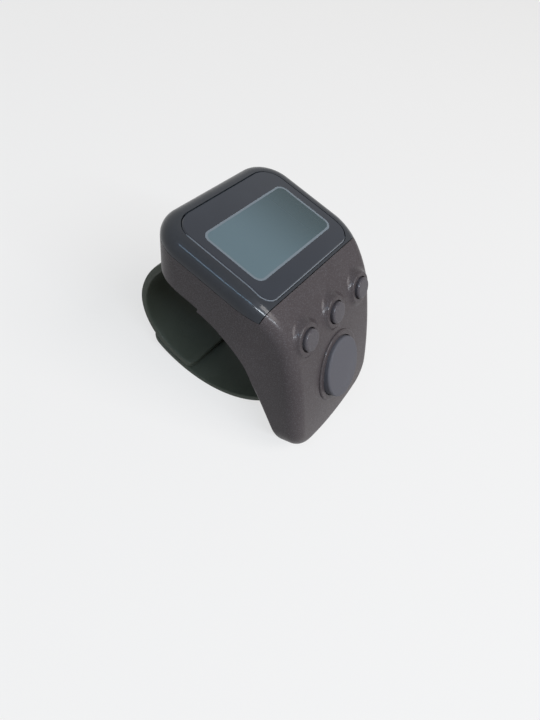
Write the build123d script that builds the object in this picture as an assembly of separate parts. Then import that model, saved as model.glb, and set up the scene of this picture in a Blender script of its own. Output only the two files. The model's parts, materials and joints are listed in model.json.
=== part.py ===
from build123d import *
import math
import os

# Finger-ring tally counter, in millimetres.
# Every piece is drawn in the case's own frame: X runs along the finger, Y to the back of the display
# and Z out of the display, with zero at the middle of the display on the case's top face.
# At the end all pieces turn about X together, so that the counter stands with Z up.

# Case seen from the side: flat display, tight bend, long slightly bowed arm, hollow underside
BACK_REACH = 12.3
BACK_LEAN = 13.0
BEND_START = 3.9
BEND_RADIUS = 13.5
BEND_TURN = 57.0
ARM_RADIUS = 94.6
ARM_LENGTH = 21.0
END_THICK = 3.0
FLOOR_DEPTH = 8.45
INNER_START = 0.5
INNER_STEP = 1.5
INNER_TURN = 54.0
HEEL_RUN = 6.2

# Case seen from above, and its rounded rim
CASE_WIDTH = 27.0
ARM_TAPER = 1.55
BACK_CORNER = 5.6
END_BULGE_RADIUS = 32.0
END_CORNER = 5.5
RIM_ROUND = 2.2
FOOT_ROUND = 0.7

# Shells
WALL = 1.2
TIP_WALL = 1.4
END_WALL = 3.2
SEAM_DEPTH = 2.3
SEAM_FRONT = 8.6
SEAM_GAP = 0.1
FIT = 0.1
PLATE = 1.2
PLATE_RECESS = 0.15
PLATE_BACK = 5.0
PLATE_RUN = 4.6
FLANGE = 0.5
FLANGE_FRONT = 0.4
FLANGE_INSET = 0.35
SLOT_REACH = 2.58
SLOT_PLAY = 0.4
OVERRUN = 40.0

# Display lens, window and glass
LENS_RIM = 2.55
LENS_FRONT = 8.15
LENS_BACK = 9.3
LENS_FRONT_CORNER = 2.2
LENS_BACK_CORNER = 3.4
LENS_PROUD = 0.12
LENS_THICK = 0.9
LENS_BEVEL = 0.2
LENS_BORDER = 1.5
WINDOW_LENGTH = 10.6
WINDOW_CORNER = 1.2
GLASS_LAP = 0.75
GLASS_LENGTH = 13.4
GLASS_THICK = 1.5
STACK_GAP = 0.05
REFLECTOR_INSET = 0.7
REFLECTOR_GAP = 0.4
REFLECTOR_THICK = 0.5
ZEBRA_WIDTH = 1.0
ZEBRA_HEIGHT = 0.55

# Main board and what is soldered to it
BOARD_THICK = 0.8
BOARD_SIDE = 1.5
BOARD_BEHIND = 0.5
BOARD_AHEAD = 1.3
CHIP_DIAMETER = 4.2
CHIP_HEIGHT = 0.9
CHIP_ROUND = 0.6
CHIP_INSET = 2.4
CHIP_Y = 2.0
CRYSTAL_DIAMETER = 1.5
CRYSTAL_LENGTH = 5.0
CRYSTAL_ROUND = 0.25
CRYSTAL_INSET = 1.8
CRYSTAL_Y = 1.9
LED_WIDTH = 0.8
LED_LENGTH = 1.6
LED_HEIGHT = 0.4
LED_INSET = 0.65

# Coin cell, its two contacts and its door
CELL_DIAMETER = 11.6
CELL_HEIGHT = 2.1
CELL_Y = 2.7
CELL_ROUND = 0.25
CONTACT_THICK = 0.15
CONTACT_WIDTH = 3.2
CONTACT_LENGTH = 9.0
CONTACT_FOOT = 1.6
DOOR_WIDTH = 15.4
DOOR_FRONT = 9.2
DOOR_BACK = 4.2
DOOR_CORNER = 1.2
DOOR_THICK = 0.6
DOOR_LEDGE = 0.8
DOOR_SCREW_INSET = 2.1
DOOR_SCREW_Y = 2.6

# Screws
SCREW_DIAMETER = 1.4
SCREW_HEAD_DIAMETER = 2.4
SCREW_HEAD_HEIGHT = 0.4
SCREW_SLOT_LENGTH = 1.6
SCREW_SLOT_WIDTH = 0.35
SCREW_SLOT_DEPTH = 0.25
CASE_SCREW_LENGTH = 4.2
DOOR_SCREW_LENGTH = 1.5
BOSS_WALL = 0.7
CASE_SCREW_INSET = 3.35
CASE_SCREW_RUN = 4.2

# Keys: all four travel square to the key board, which lies along the arm
SMALL_KEY_INSET = 4.45
SMALL_KEY_RISE = 1.8
SMALL_KEY_DIAMETER = 3.4
SMALL_KEY_TOP = 1.0
SMALL_KEY_TRAVEL = 0.5
SMALL_COLLAR_DIAMETER = 4.9
SMALL_COLLAR_TOP = 0.4
SMALL_COLLAR_FLARE = 30.0
COUNT_KEY_RUN = 8.5
COUNT_KEY_WIDTH = 9.2
COUNT_KEY_LENGTH = 10.6
COUNT_KEY_TOP = 0.85
COUNT_KEY_TRAVEL = 0.6
COUNT_KEY_WALL = 1.2
COUNT_COLLAR_WALL = 0.9
COUNT_COLLAR_PROUD = 0.3
KEY_CLEARANCE = 0.15
KEY_FLANGE = 0.5
KEY_LIP = 0.5
KEY_PLAY = 0.1
KEY_ROUND = 0.35
COLLAR_ROUND = 1.2
COLLAR_EDGE = 0.25
KEY_ROOM = 0.25
KEY_BOARD_SIDE = 1.35
KEY_BOARD_NECK = 12.6
KEY_BOARD_RISE = 3.5
KEY_BOARD_STEP = 0.6
KEY_BOARD_RUN = 10.4
SWITCH_SIZE = 3.2
SWITCH_HEIGHT = 1.0
SWITCH_PLAY = 0.05
COUNT_SWITCH_RUN = 8.3
PLUNGER_DIAMETER = 1.6
PLUNGER_SUNK = 0.3
PLUNGER_FIT = 0.1
STEM_DIAMETER = 2.2

# Ribbon between the two boards
RIBBON_WIDTH = 3.4
RIBBON_X = 3.75
RIBBON_THICK = 0.12
RIBBON_LAP = 0.9
RIBBON_BEND = 0.5

# Strap: a long front half on a hinge pin in the arm and a short back half under the display
CHEEK_WIDTH = 2.65
STRAP_THICK = 1.0
BACK_STRAP_THICK = 1.4
STRAP_GAP = 0.12
HINGE_RUN = 0.5
HINGE_SUNK = 1.58
BACK_PIN_Y = 6.36
BACK_PIN_RISE = 1.13
LOOP_BACK_RADIUS = 16.0
LOOP_BASE_RADIUS = 19.7
LOOP_CORNER_RADIUS = 9.6
STRAP_END_ANGLE = 54.0
LAP_ANGLE = 18.0
HINGE_ANGLE = 69.0
ROOT_ANGLE = 56.0
ROOT_INSET = 0.9
ROOT_DIAMETER = 2.2
PIN_DIAMETER = 1.0
PIN_HOLD = 1.5
PIN_FIT = 0.06
EAR_WIDTH = 2.6
EAR_RISE = 1.3
EAR_GAP = 0.2
PEG_DIAMETER = 1.8
PEG_INSET = 4.8
PEG_HEIGHT = 1.45
HOLE_CLEARANCE = 0.25
HOLE_STRETCH = 1.3
HOLE_ROWS = 2
HOLE_ROW_PITCH = 4.2

# Board posts and snap lugs of the bottom case
POST_DIAMETER = 1.6
POST_INSET = 1.2
POST_Y = 4.4
KEY_POST_INSET = 0.7
KEY_POST_RISE = 2.2
LUG_LENGTH = 3.0
LUG_DEPTH = 0.5
LUG_HEIGHT = 0.4
LUG_Y = 3.2

# Sizes that follow from the case's width and the display glass
ARM_WIDTH = CASE_WIDTH - 2 * ARM_TAPER
LENS_WIDTH = CASE_WIDTH - 2 * LENS_RIM
WINDOW_WIDTH = LENS_WIDTH - 2 * LENS_BORDER
GLASS_WIDTH = WINDOW_WIDTH + 2 * GLASS_LAP
REFLECTOR_WIDTH = GLASS_WIDTH - 2 * REFLECTOR_INSET
REFLECTOR_LENGTH = GLASS_LENGTH - 2 * (ZEBRA_WIDTH + REFLECTOR_GAP)
BOARD_BACK = GLASS_LENGTH / 2 + BOARD_BEHIND
BOARD_FRONT = GLASS_LENGTH / 2 + BOARD_AHEAD
BOARD_WIDTH = CASE_WIDTH - 2 * (WALL + BOARD_SIDE)
CHIP_X = BOARD_WIDTH / 2 - CHIP_INSET
CRYSTAL_X = BOARD_WIDTH / 2 - CRYSTAL_INSET
LED_X = BOARD_WIDTH / 2 - LED_INSET
POST_X = BOARD_WIDTH / 2 - POST_INSET
DOOR_SCREW_X = DOOR_WIDTH / 2 - DOOR_SCREW_INSET
CASE_SCREW_X = ARM_WIDTH / 2 - CASE_SCREW_INSET
SMALL_KEY_PITCH = ARM_WIDTH / 2 - SMALL_KEY_INSET
KEY_BOARD_WIDTH = ARM_WIDTH - 2 * (WALL + KEY_BOARD_SIDE)
KEY_POST_X = KEY_BOARD_WIDTH / 2 - KEY_POST_INSET
STRAP_WIDTH = ARM_WIDTH - 2 * CHEEK_WIDTH
ROOT_WIDTH = STRAP_WIDTH - 2 * ROOT_INSET
PIN_LENGTH = STRAP_WIDTH + 2 * PIN_HOLD
PEG_PITCH = STRAP_WIDTH - 2 * PEG_INSET

# Where edges are sampled along their length
MIDDLE_SHARE = 0.5
EDGE_SHARES = (0, 0.3, 0.7, 1)


def lean(angle):
    """Unit vector in the side view that points up at zero and leans forward with the angle."""
    turn = math.radians(angle)
    return Vector(-math.sin(turn), math.cos(turn))


def down_slope(angle):
    """Unit vector in the side view that runs forward at zero and dips with the angle."""
    turn = math.radians(angle)
    return Vector(-math.cos(turn), -math.sin(turn))


def polar(angle):
    """Unit vector in the side view at an angle from +Y towards +Z."""
    turn = math.radians(angle)
    return Vector(math.cos(turn), math.sin(turn))


def bearing(start, end):
    """Angle in degrees, from +Y towards +Z, of the way from one point to another."""
    way = end - start
    return math.degrees(math.atan2(way.Y, way.X))


def shallow(radius, inset, run):
    """Depth under the crown of a round surface, moved in by inset, at a run to one side."""
    return radius - math.sqrt((radius - inset)**2 - run**2)


# Centres and corners of the side view
UPRIGHT = bearing(Vector(0, 0), lean(0))
BEND_MIDDLE = Vector(-BEND_START, -BEND_RADIUS)
BEND_END = BEND_MIDDLE + lean(BEND_TURN) * BEND_RADIUS
ARM_MIDDLE = BEND_END - lean(BEND_TURN) * ARM_RADIUS
ARM_TURN = math.degrees(math.asin((ARM_LENGTH + RIM_ROUND) / ARM_RADIUS))
END_DEPTH = END_THICK + shallow(ARM_RADIUS, 0, ARM_LENGTH)
FOOT_END = BEND_END + down_slope(BEND_TURN) * ARM_LENGTH - lean(BEND_TURN) * END_DEPTH
INNER_RADIUS = BEND_RADIUS - INNER_STEP
INNER_MIDDLE = Vector(-INNER_START, -FLOOR_DEPTH - INNER_RADIUS)
INNER_END = INNER_MIDDLE + lean(INNER_TURN) * INNER_RADIUS
HEEL = INNER_END + down_slope(INNER_TURN) * HEEL_RUN
FOOT_WAY = (FOOT_END - HEEL).normalized()
FOOT_UP = Vector(FOOT_WAY.Y, -FOOT_WAY.X)
BACK_SLANT = math.tan(math.radians(BACK_LEAN))
BACK_FOOT_Y = BACK_REACH - FLOOR_DEPTH * BACK_SLANT

# Levels under the display
LENS_UNDER = LENS_PROUD - LENS_THICK
GLASS_TOP = -SEAM_DEPTH - STACK_GAP
REFLECTOR_TOP = GLASS_TOP - GLASS_THICK - STACK_GAP
BOARD_TOP = REFLECTOR_TOP - ZEBRA_HEIGHT - STACK_GAP
BOARD_UNDER = BOARD_TOP - BOARD_THICK
CELL_TOP = BOARD_UNDER - CONTACT_THICK - 2 * STACK_GAP
PLATE_TOP = PLATE_RECESS + PLATE - FLOOR_DEPTH
DOOR_TOP = PLATE_RECESS + DOOR_THICK - FLOOR_DEPTH

# Key plane: local X along the finger, local Y up the slope, local Z out of the arm
KEYS = Plane(origin=(0, BEND_END.X, BEND_END.Y), x_dir=(1, 0, 0),
             z_dir=(0, lean(BEND_TURN).X, lean(BEND_TURN).Y))
SMALL_KEY_REACH = SMALL_KEY_RISE + SMALL_KEY_DIAMETER / 2 + KEY_LIP
COUNT_KEY_REACH = COUNT_KEY_RUN + COUNT_KEY_LENGTH / 2 + KEY_LIP
SMALL_FLANGE_TOP = -shallow(BEND_RADIUS, WALL, SMALL_KEY_REACH) - KEY_PLAY
COUNT_FLANGE_TOP = -shallow(ARM_RADIUS, WALL, COUNT_KEY_REACH) - KEY_PLAY
KEY_BOARD_TOP = COUNT_FLANGE_TOP - KEY_FLANGE - COUNT_KEY_TRAVEL - KEY_ROOM
SWITCH_TOP = KEY_BOARD_TOP + SWITCH_HEIGHT
PLUNGER_FOOT = SWITCH_TOP - PLUNGER_SUNK
COUNT_STEM_FOOT = SWITCH_TOP + COUNT_KEY_TRAVEL + KEY_PLAY
SMALL_KEY_FOOT = SMALL_FLANGE_TOP - KEY_FLANGE
SMALL_SWITCH_TOP = min(SWITCH_TOP, SMALL_KEY_FOOT - SMALL_KEY_TRAVEL - SWITCH_PLAY)
SMALL_PLUNGER_FOOT = max(SMALL_SWITCH_TOP - PLUNGER_SUNK, KEY_BOARD_TOP + SMALL_KEY_TRAVEL + SWITCH_PLAY)

# Strap circles: the corner circle touches the back and base circles from inside
LAP_RADIUS = LOOP_BASE_RADIUS - STRAP_THICK - STRAP_GAP
HINGE_BEARING = -UPRIGHT - HINGE_ANGLE
HINGE = HEEL + down_slope(INNER_TURN) * HINGE_RUN + lean(INNER_TURN) * HINGE_SUNK
BACK_PIN = Vector(BACK_PIN_Y, BACK_PIN_RISE - FLOOR_DEPTH)
LOOP_BACK = BACK_PIN - polar(ROOT_ANGLE) * (LOOP_BACK_RADIUS - BACK_STRAP_THICK / 2)
LOOP_BASE = HINGE - polar(HINGE_BEARING) * (LOOP_BASE_RADIUS - STRAP_THICK / 2)
CENTRE_LINE = LOOP_BASE - LOOP_BACK
BACK_ARM = LOOP_BACK_RADIUS - LOOP_CORNER_RADIUS
BASE_ARM = LAP_RADIUS - LOOP_CORNER_RADIUS
ALONG = (BACK_ARM**2 - BASE_ARM**2 + CENTRE_LINE.length**2) / (2 * CENTRE_LINE.length)
ACROSS = math.sqrt(BACK_ARM**2 - ALONG**2)
CENTRE_WAY = CENTRE_LINE.normalized()
LOOP_CORNER = LOOP_BACK + CENTRE_WAY * ALONG + Vector(CENTRE_WAY.Y, -CENTRE_WAY.X) * ACROSS
BASE_BEARING = bearing(LOOP_BASE, LOOP_CORNER)
BACK_BEARING = bearing(LOOP_BACK, LOOP_CORNER)
PEG_BEARING = BASE_BEARING - LAP_ANGLE / 2


def across(edges, width):
    """Solid of a closed side view, as wide as given and centred on the middle plane."""
    return extrude(Plane.YZ * make_face(edges), amount=width / 2, both=True)


def joined(edges):
    """Side-view edges with straight pieces added, so that each starts where the last one ends."""
    chain = []
    for edge, after in zip(edges, edges[1:] + edges[:1]):
        chain.append(edge)
        if (edge @ 1 - after @ 0).length > SEAM_GAP * SEAM_GAP:
            chain.append(Line(edge @ 1, after @ 0))
    return chain


def skin(inset):
    """Display, bend and arm line of the case, moved inwards by inset, from back to tip."""
    flat = Line((BACK_REACH + OVERRUN, -inset), BEND_MIDDLE + lean(0) * (BEND_RADIUS - inset))
    bend = CenterArc(BEND_MIDDLE, BEND_RADIUS - inset, UPRIGHT, BEND_TURN)
    arm = CenterArc(ARM_MIDDLE, ARM_RADIUS - inset, UPRIGHT + BEND_TURN, ARM_TURN)
    return [flat, bend, arm]


def skin_back(inset):
    """The same line from tip to back."""
    arm = CenterArc(ARM_MIDDLE, ARM_RADIUS - inset, UPRIGHT + BEND_TURN + ARM_TURN, -ARM_TURN)
    bend = CenterArc(BEND_MIDDLE, BEND_RADIUS - inset, UPRIGHT + BEND_TURN, -BEND_TURN)
    flat = Line(BEND_MIDDLE + lean(0) * (BEND_RADIUS - inset), (BACK_REACH + OVERRUN, -inset))
    return [arm, bend, flat]


def underside(rise, run):
    """Floor, hollow and straight inner line of the arm, moved into the case by rise, front to back."""
    step = lean(INNER_TURN) * rise
    straight = Line(INNER_END + step + down_slope(INNER_TURN) * run, INNER_END + step)
    hollow = CenterArc(INNER_MIDDLE, INNER_RADIUS + rise, UPRIGHT + INNER_TURN, -INNER_TURN)
    floor = Line(INNER_MIDDLE + lean(0) * (INNER_RADIUS + rise), (BACK_REACH + OVERRUN, rise - FLOOR_DEPTH))
    return [straight, hollow, floor]


def underside_front(rise, run):
    """The same line from back to front."""
    step = lean(INNER_TURN) * rise
    floor = Line((BACK_REACH + OVERRUN, rise - FLOOR_DEPTH), INNER_MIDDLE + lean(0) * (INNER_RADIUS + rise))
    hollow = CenterArc(INNER_MIDDLE, INNER_RADIUS + rise, UPRIGHT, INNER_TURN)
    straight = Line(INNER_END + step, INNER_END + step + down_slope(INNER_TURN) * run)
    return [floor, hollow, straight]


def plan_side(sign, inset):
    """One side of the case seen from above, which narrows in an S of two arcs along the bend."""
    start = Vector(sign * (CASE_WIDTH / 2 - inset), -BEND_START)
    end = Vector(sign * (ARM_WIDTH / 2 - inset), BEND_END.X)
    half_way = (start + end) / 2
    return [Line((start.X, OVERRUN), start), TangentArc(start, half_way, tangent=(0, -1)),
            TangentArc(end, half_way, tangent=(0, 1)), Line(end, (end.X, -OVERRUN))]


def plan_prism(inset):
    """Upright prism of the case seen from above, open at back and front."""
    right = plan_side(1, inset)
    left = plan_side(-1, inset)
    back = Line(right[0] @ 0, left[0] @ 0)
    front = Line(right[-1] @ 1, left[-1] @ 1)
    return extrude(make_face(right + left + [back, front]), amount=OVERRUN, both=True)


def back_limit(inset):
    """Everything in front of the leaning back wall, with its rounded corners."""
    foot = BACK_REACH - inset - OVERRUN * BACK_SLANT
    head = BACK_REACH - inset + OVERRUN * BACK_SLANT
    low = Line((-OVERRUN, -OVERRUN), (foot, -OVERRUN))
    high = Line((head, OVERRUN), (-OVERRUN, OVERRUN))
    block = across(joined([low, high]), CASE_WIDTH - 2 * inset)
    edges = block.edges().sort_by(Axis.Y)[-3:].filter_by(lambda e: abs(e.center().X) > inset)
    return fillet(edges, BACK_CORNER - inset)


def box_between(low, high):
    """Block between two corners."""
    size = [b - a for a, b in zip(low, high)]
    middle = [(a + b) / 2 for a, b in zip(low, high)]
    return Pos(*middle) * Box(*size)


def rounded_prism(width, front, back, front_corner, back_corner):
    """Upright prism of a rectangle that reaches from front to back, with rounded corners."""
    face = Pos(0, (back - front) / 2) * Rectangle(width, back + front)
    face = fillet(face.vertices().sort_by(Axis.Y)[-2:], back_corner)
    face = fillet(face.vertices().sort_by(Axis.Y)[:2], front_corner)
    return extrude(face, amount=OVERRUN, both=True)


def layer(low, high):
    """Everything between two depths under the case's outer skin."""
    return across(joined(skin(low) + skin_back(high)), CASE_WIDTH)


def on_keys(sketch, low, high):
    """Solid on the key plane between two heights over it."""
    return extrude(KEYS.offset(low) * sketch, amount=high - low)


def oval(width, length):
    """Outline of the count key on the key plane, grown or shrunk to a width and a length."""
    return Pos(0, -COUNT_KEY_RUN) * Ellipse(width / 2, length / 2)


def small_key_spots():
    """Places of the three small keys on the key plane: far, middle and near side."""
    return [Pos(side * SMALL_KEY_PITCH, SMALL_KEY_RISE) for side in (1, 0, -1)]


def bar(spot, diameter, length):
    """Round bar along the finger at a place in the side view."""
    return extrude(Plane.YZ * (Pos(spot.X, spot.Y) * Circle(diameter / 2)), amount=length / 2, both=True)


def skin_depth(point):
    """How far a point lies under the outer skin of display, bend and arm."""
    spot = Vector(point.Y, point.Z)
    if spot.X >= -BEND_START:
        return -spot.Y
    if (spot - BEND_END).dot(down_slope(BEND_TURN)) <= 0:
        return BEND_RADIUS - (spot - BEND_MIDDLE).length
    return ARM_RADIUS - (spot - ARM_MIDDLE).length


def arm_outline(inset, end_inset):
    """Prism square to the key plane that gives the arm its bowed end with round corners."""
    half = ARM_WIDTH / 2 - inset
    end = ARM_LENGTH - end_inset
    round_corner = END_CORNER - inset
    corner = end - shallow(END_BULGE_RADIUS, 0, half)
    step = corner - round_corner
    outline = [Line((CASE_WIDTH, OVERRUN), (CASE_WIDTH, -step)), Line((half, -step), (half, -corner)),
               ThreePointArc((half, -corner), (0, -end), (-half, -corner)),
               Line((-half, -corner), (-half, -step)), Line((-CASE_WIDTH, -step), (-CASE_WIDTH, OVERRUN))]
    face = make_face(joined(outline))
    face = fillet(face.vertices().sort_by(Axis.Y)[:2], round_corner)
    return on_keys(face, -OVERRUN, OVERRUN)


def crosses_case(edge):
    """Whether an edge is a straight line right across the case, where two of its surfaces meet."""
    size = edge.bounding_box().size
    return edge.geom_type == GeomType.LINE and size.X > ARM_WIDTH / 2 and edge.center().Y < BACK_FOOT_Y


def on_rim(edge):
    """Whether an edge of the sharp case lies where its rim is rounded."""
    if crosses_case(edge):
        return False
    return max(skin_depth(edge @ 0), skin_depth(edge @ MIDDLE_SHARE)) < SEAM_GAP


def on_foot(edge):
    """Whether an edge of the case runs round the foot of the arm."""
    if crosses_case(edge):
        return False
    spots = [edge @ share for share in (0, MIDDLE_SHARE, 1)]
    return max(abs((Vector(spot.Y, spot.Z) - HEEL).dot(FOOT_UP)) for spot in spots) < SEAM_GAP * SEAM_GAP


def case_form():
    """Whole outside of the case as one solid, with its rounded corners and rim."""
    foot = Line(FOOT_END + FOOT_WAY * RIM_ROUND, HEEL)
    side = make_face(joined(skin(0) + [foot] + underside(0, HEEL_RUN)))
    form = extrude(Plane.YZ * side, amount=CASE_WIDTH, both=True)
    form = form & plan_prism(0) & back_limit(0) & arm_outline(0, 0)
    form = fillet(form.edges().filter_by(on_rim), RIM_ROUND)
    return fillet(form.edges().filter_by(on_foot), FOOT_ROUND)


def under_skin(inset):
    """Everything under the outer skin moved inwards, as wide as the case."""
    line = skin(inset)
    front = line[-1] @ 1
    floor = Line((front.X, -OVERRUN), (BACK_REACH + OVERRUN, -OVERRUN))
    return across(joined(line + [floor]), CASE_WIDTH)


def display_zone(gap):
    """Space of the display bezel: everything above the seam and behind its front line."""
    return box_between((-OVERRUN, -SEAM_FRONT - gap, -SEAM_DEPTH - gap), (OVERRUN, OVERRUN, OVERRUN))


def tip_block():
    """Solid foot of the arm in front of the strap slot."""
    start = HEEL + FOOT_UP * TIP_WALL
    back = HINGE.X - SLOT_REACH
    run = (back - start.X) / FOOT_WAY.X
    top = Line(start + FOOT_WAY * OVERRUN, start + FOOT_WAY * run)
    return across(joined([top, Line((back, -OVERRUN), (-OVERRUN, -OVERRUN))]), CASE_WIDTH)


def cheeks():
    """Thick sides of the arm beside the strap slot, which hold the hinge pin."""
    start = INNER_END + down_slope(INNER_TURN) * (PLATE_RUN + 2 * FIT)
    way = down_slope(INNER_TURN) * OVERRUN
    up = lean(INNER_TURN) * OVERRUN
    near = Line(start - up, start + up)
    block = across(joined([near, Line(start + up + way, start - up + way)]), CASE_WIDTH)
    return block - Box(STRAP_WIDTH + 2 * SLOT_PLAY, 4 * OVERRUN, 4 * OVERRUN)


def cavity():
    """Hollow of the top case, open below for the bottom case and the strap."""
    room = under_skin(WALL) & plan_prism(WALL) & back_limit(WALL) & arm_outline(WALL, END_WALL)
    return room - tip_block() - cheeks()


def plate_level(run, rise):
    """Height over the key plane of the arm's inner line, moved into the case by rise, at a run down it."""
    start = INNER_END + lean(INNER_TURN) * rise - BEND_END
    ahead = run - start.dot(down_slope(BEND_TURN))
    return start.dot(lean(BEND_TURN)) + ahead * math.tan(math.radians(BEND_TURN - INNER_TURN))


def hollow_level(run, rise):
    """Height over the key plane of the case's hollow, moved into the case by rise, at a run down it."""
    middle = INNER_MIDDLE - BEND_END
    aside = run - middle.dot(down_slope(BEND_TURN))
    return middle.dot(lean(BEND_TURN)) + math.sqrt((INNER_RADIUS + rise)**2 - aside**2)


def case_screw_spots():
    """Places of the two case screws on the key plane."""
    return [Pos(side * CASE_SCREW_X, -CASE_SCREW_RUN) for side in (-1, 1)]


def collar_radius(level):
    """Radius of a small key's flared collar at a height over the key plane."""
    flare = math.tan(math.radians(SMALL_COLLAR_FLARE))
    return SMALL_COLLAR_DIAMETER / 2 + (SMALL_COLLAR_TOP - level) * flare


def small_collars(form):
    """The case with a flared collar for each small key, which runs into the case in a soft hollow."""
    low = -2 * WALL
    cone = Cone(collar_radius(low), collar_radius(SMALL_COLLAR_TOP), SMALL_COLLAR_TOP - low)
    cone = fillet(cone.edges().sort_by(Axis.Z)[-1], COLLAR_EDGE)
    for spot in small_key_spots():
        form = form + KEYS.offset((low + SMALL_COLLAR_TOP) / 2) * spot * cone
    return fillet(form.edges().filter_by(on_collar_foot), COLLAR_ROUND)


def on_collar_foot(edge):
    """Whether an edge is one where a small collar meets the case."""
    if edge.geom_type == GeomType.LINE:
        return False
    spots = [(edge @ share - KEYS.origin) for share in EDGE_SHARES]
    levels = [spot.dot(KEYS.z_dir) for spot in spots]
    sides = [abs(abs(spot.dot(KEYS.x_dir)) - SMALL_KEY_PITCH / 2) for spot in spots]
    ways = [math.hypot(SMALL_KEY_PITCH / 2 - side, spot.dot(KEYS.y_dir) - SMALL_KEY_RISE)
            for side, spot in zip(sides, spots)]
    off = max(abs(way - collar_radius(level)) for way, level in zip(ways, levels))
    return off < SEAM_GAP * SEAM_GAP and max(levels) < SMALL_COLLAR_TOP - COLLAR_EDGE


def count_collar():
    """Low ridge round the count key, which follows the bow of the arm."""
    grow = 2 * (KEY_CLEARANCE + COUNT_COLLAR_WALL)
    outline = on_keys(oval(COUNT_KEY_WIDTH + grow, COUNT_KEY_LENGTH + grow), -OVERRUN, OVERRUN)
    ridge = layer(-COUNT_COLLAR_PROUD, WALL) & outline
    top = ridge.edges().filter_by(lambda e: skin_depth(e @ MIDDLE_SHARE) < -COUNT_COLLAR_PROUD / 2)
    return fillet(top, COLLAR_EDGE)


def ears():
    """Two blocks beside the root of the back strap that hold its pin."""
    blocks = []
    for side in (-1, 1):
        inner = side * (ROOT_WIDTH / 2 + EAR_GAP)
        outer = side * CASE_WIDTH / 2
        low = (min(inner, outer), BACK_PIN.X - EAR_WIDTH / 2, BACK_PIN.Y - ROOT_DIAMETER / 2)
        high = (max(inner, outer), BACK_PIN.X + EAR_WIDTH / 2, BACK_PIN.Y + EAR_RISE)
        blocks.append(box_between(low, high) & plan_prism(WALL / 2) & back_limit(WALL / 2))
    return blocks


def lugs(grow):
    """Snap lugs on both sides of the bottom case, or the pockets for them when grown."""
    blocks = []
    for side in (-1, 1):
        edge = CASE_WIDTH / 2 - WALL - FIT
        inner = side * (edge - LUG_DEPTH)
        outer = side * (edge + LUG_DEPTH + grow)
        low = (min(inner, outer), LUG_Y - LUG_LENGTH / 2 - grow, PLATE_TOP - LUG_HEIGHT - grow)
        high = (max(inner, outer), LUG_Y + LUG_LENGTH / 2 + grow, PLATE_TOP + grow)
        blocks.append(box_between(low, high))
    return blocks


def top_case():
    """Painted upper shell: walls, arm, key collars, screw bosses and strap ears."""
    shell = small_collars(case_form()) + count_collar()
    shell = shell - cavity() - display_zone(SEAM_GAP)
    for spot in case_screw_spots():
        foot = plate_level(CASE_SCREW_RUN, PLATE_RECESS + PLATE) + 2 * FIT
        shell = shell + on_keys(spot * Circle(SCREW_DIAMETER / 2 + BOSS_WALL), foot, -WALL / 2)
        head = plate_level(CASE_SCREW_RUN, PLATE_RECESS) + SCREW_HEAD_HEIGHT
        hole = on_keys(spot * Circle(SCREW_DIAMETER / 2), foot - FIT, head + CASE_SCREW_LENGTH + FIT)
        shell = shell - hole
    for spot in small_key_spots():
        hole = Circle(SMALL_KEY_DIAMETER / 2 + KEY_CLEARANCE)
        shell = shell - on_keys(spot * hole, SMALL_FLANGE_TOP, OVERRUN)
    wide = COUNT_KEY_WIDTH + 2 * KEY_CLEARANCE
    long = COUNT_KEY_LENGTH + 2 * KEY_CLEARANCE
    shell = shell - on_keys(oval(wide, long), COUNT_FLANGE_TOP, OVERRUN)
    relief = PLATE_RECESS + FLANGE + FIT - FLOOR_DEPTH
    shell = shell - box_between((-OVERRUN, FLANGE_FRONT - FIT, -OVERRUN), (OVERRUN, OVERRUN, relief))
    shell = shell + ears()
    for spot in (BACK_PIN, HINGE):
        shell = shell - bar(spot, PIN_DIAMETER + 2 * PIN_FIT, PIN_LENGTH + 2 * FIT)
    return shell - lugs(FIT)


def display_bezel():
    """Glossy upper frame round the lens, with a stepped pocket and the window for the glass."""
    frame = case_form() & display_zone(0)
    pocket = layer(-RIM_ROUND, -LENS_UNDER) & lens_prism(FIT)
    window = rounded_prism(WINDOW_WIDTH, WINDOW_LENGTH / 2, WINDOW_LENGTH / 2, WINDOW_CORNER, WINDOW_CORNER)
    return frame - pocket - window


def lens_prism(grow):
    """Upright prism of the lens, made larger all round by grow."""
    return rounded_prism(LENS_WIDTH + 2 * grow, LENS_FRONT + grow, LENS_BACK + grow,
                         LENS_FRONT_CORNER + grow, LENS_BACK_CORNER + grow)


def display_lens():
    """Dark clear lens that follows the bend, with a bevel round its upper edge."""
    sheet = layer(-LENS_PROUD, -LENS_UNDER - STACK_GAP) & lens_prism(0)
    return chamfer(sheet.edges().filter_by(on_lens_rim), LENS_BEVEL)


def on_lens_rim(edge):
    """Whether an edge runs round the top of the lens, and not right across it."""
    if edge.bounding_box().size.X > LENS_WIDTH - LENS_BEVEL:
        return False
    return max(skin_depth(edge @ share) for share in EDGE_SHARES) < 0


def lcd_glass():
    """Display glass: a pane in the window under the lens, on two layers of which the lower is longer."""
    half = GLASS_THICK / 2
    long = WINDOW_LENGTH / 2 - FIT
    pane = rounded_prism(WINDOW_WIDTH - 2 * FIT, long, long, WINDOW_CORNER, WINDOW_CORNER)
    top = LENS_UNDER - STACK_GAP
    pane = pane & box_between((-OVERRUN, -OVERRUN, GLASS_TOP - half), (OVERRUN, OVERRUN, top))
    upper = Pos(0, 0, GLASS_TOP - half / 2) * Box(GLASS_WIDTH, GLASS_LENGTH - 2 * ZEBRA_WIDTH, half)
    lower = Pos(0, 0, GLASS_TOP - half - half / 2) * Box(GLASS_WIDTH, GLASS_LENGTH, half)
    return pane + upper + lower


def lcd_reflector():
    """Pale sheet behind the display glass."""
    spot = Pos(0, 0, REFLECTOR_TOP - REFLECTOR_THICK / 2)
    return spot * Box(REFLECTOR_WIDTH, REFLECTOR_LENGTH, REFLECTOR_THICK)


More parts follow.
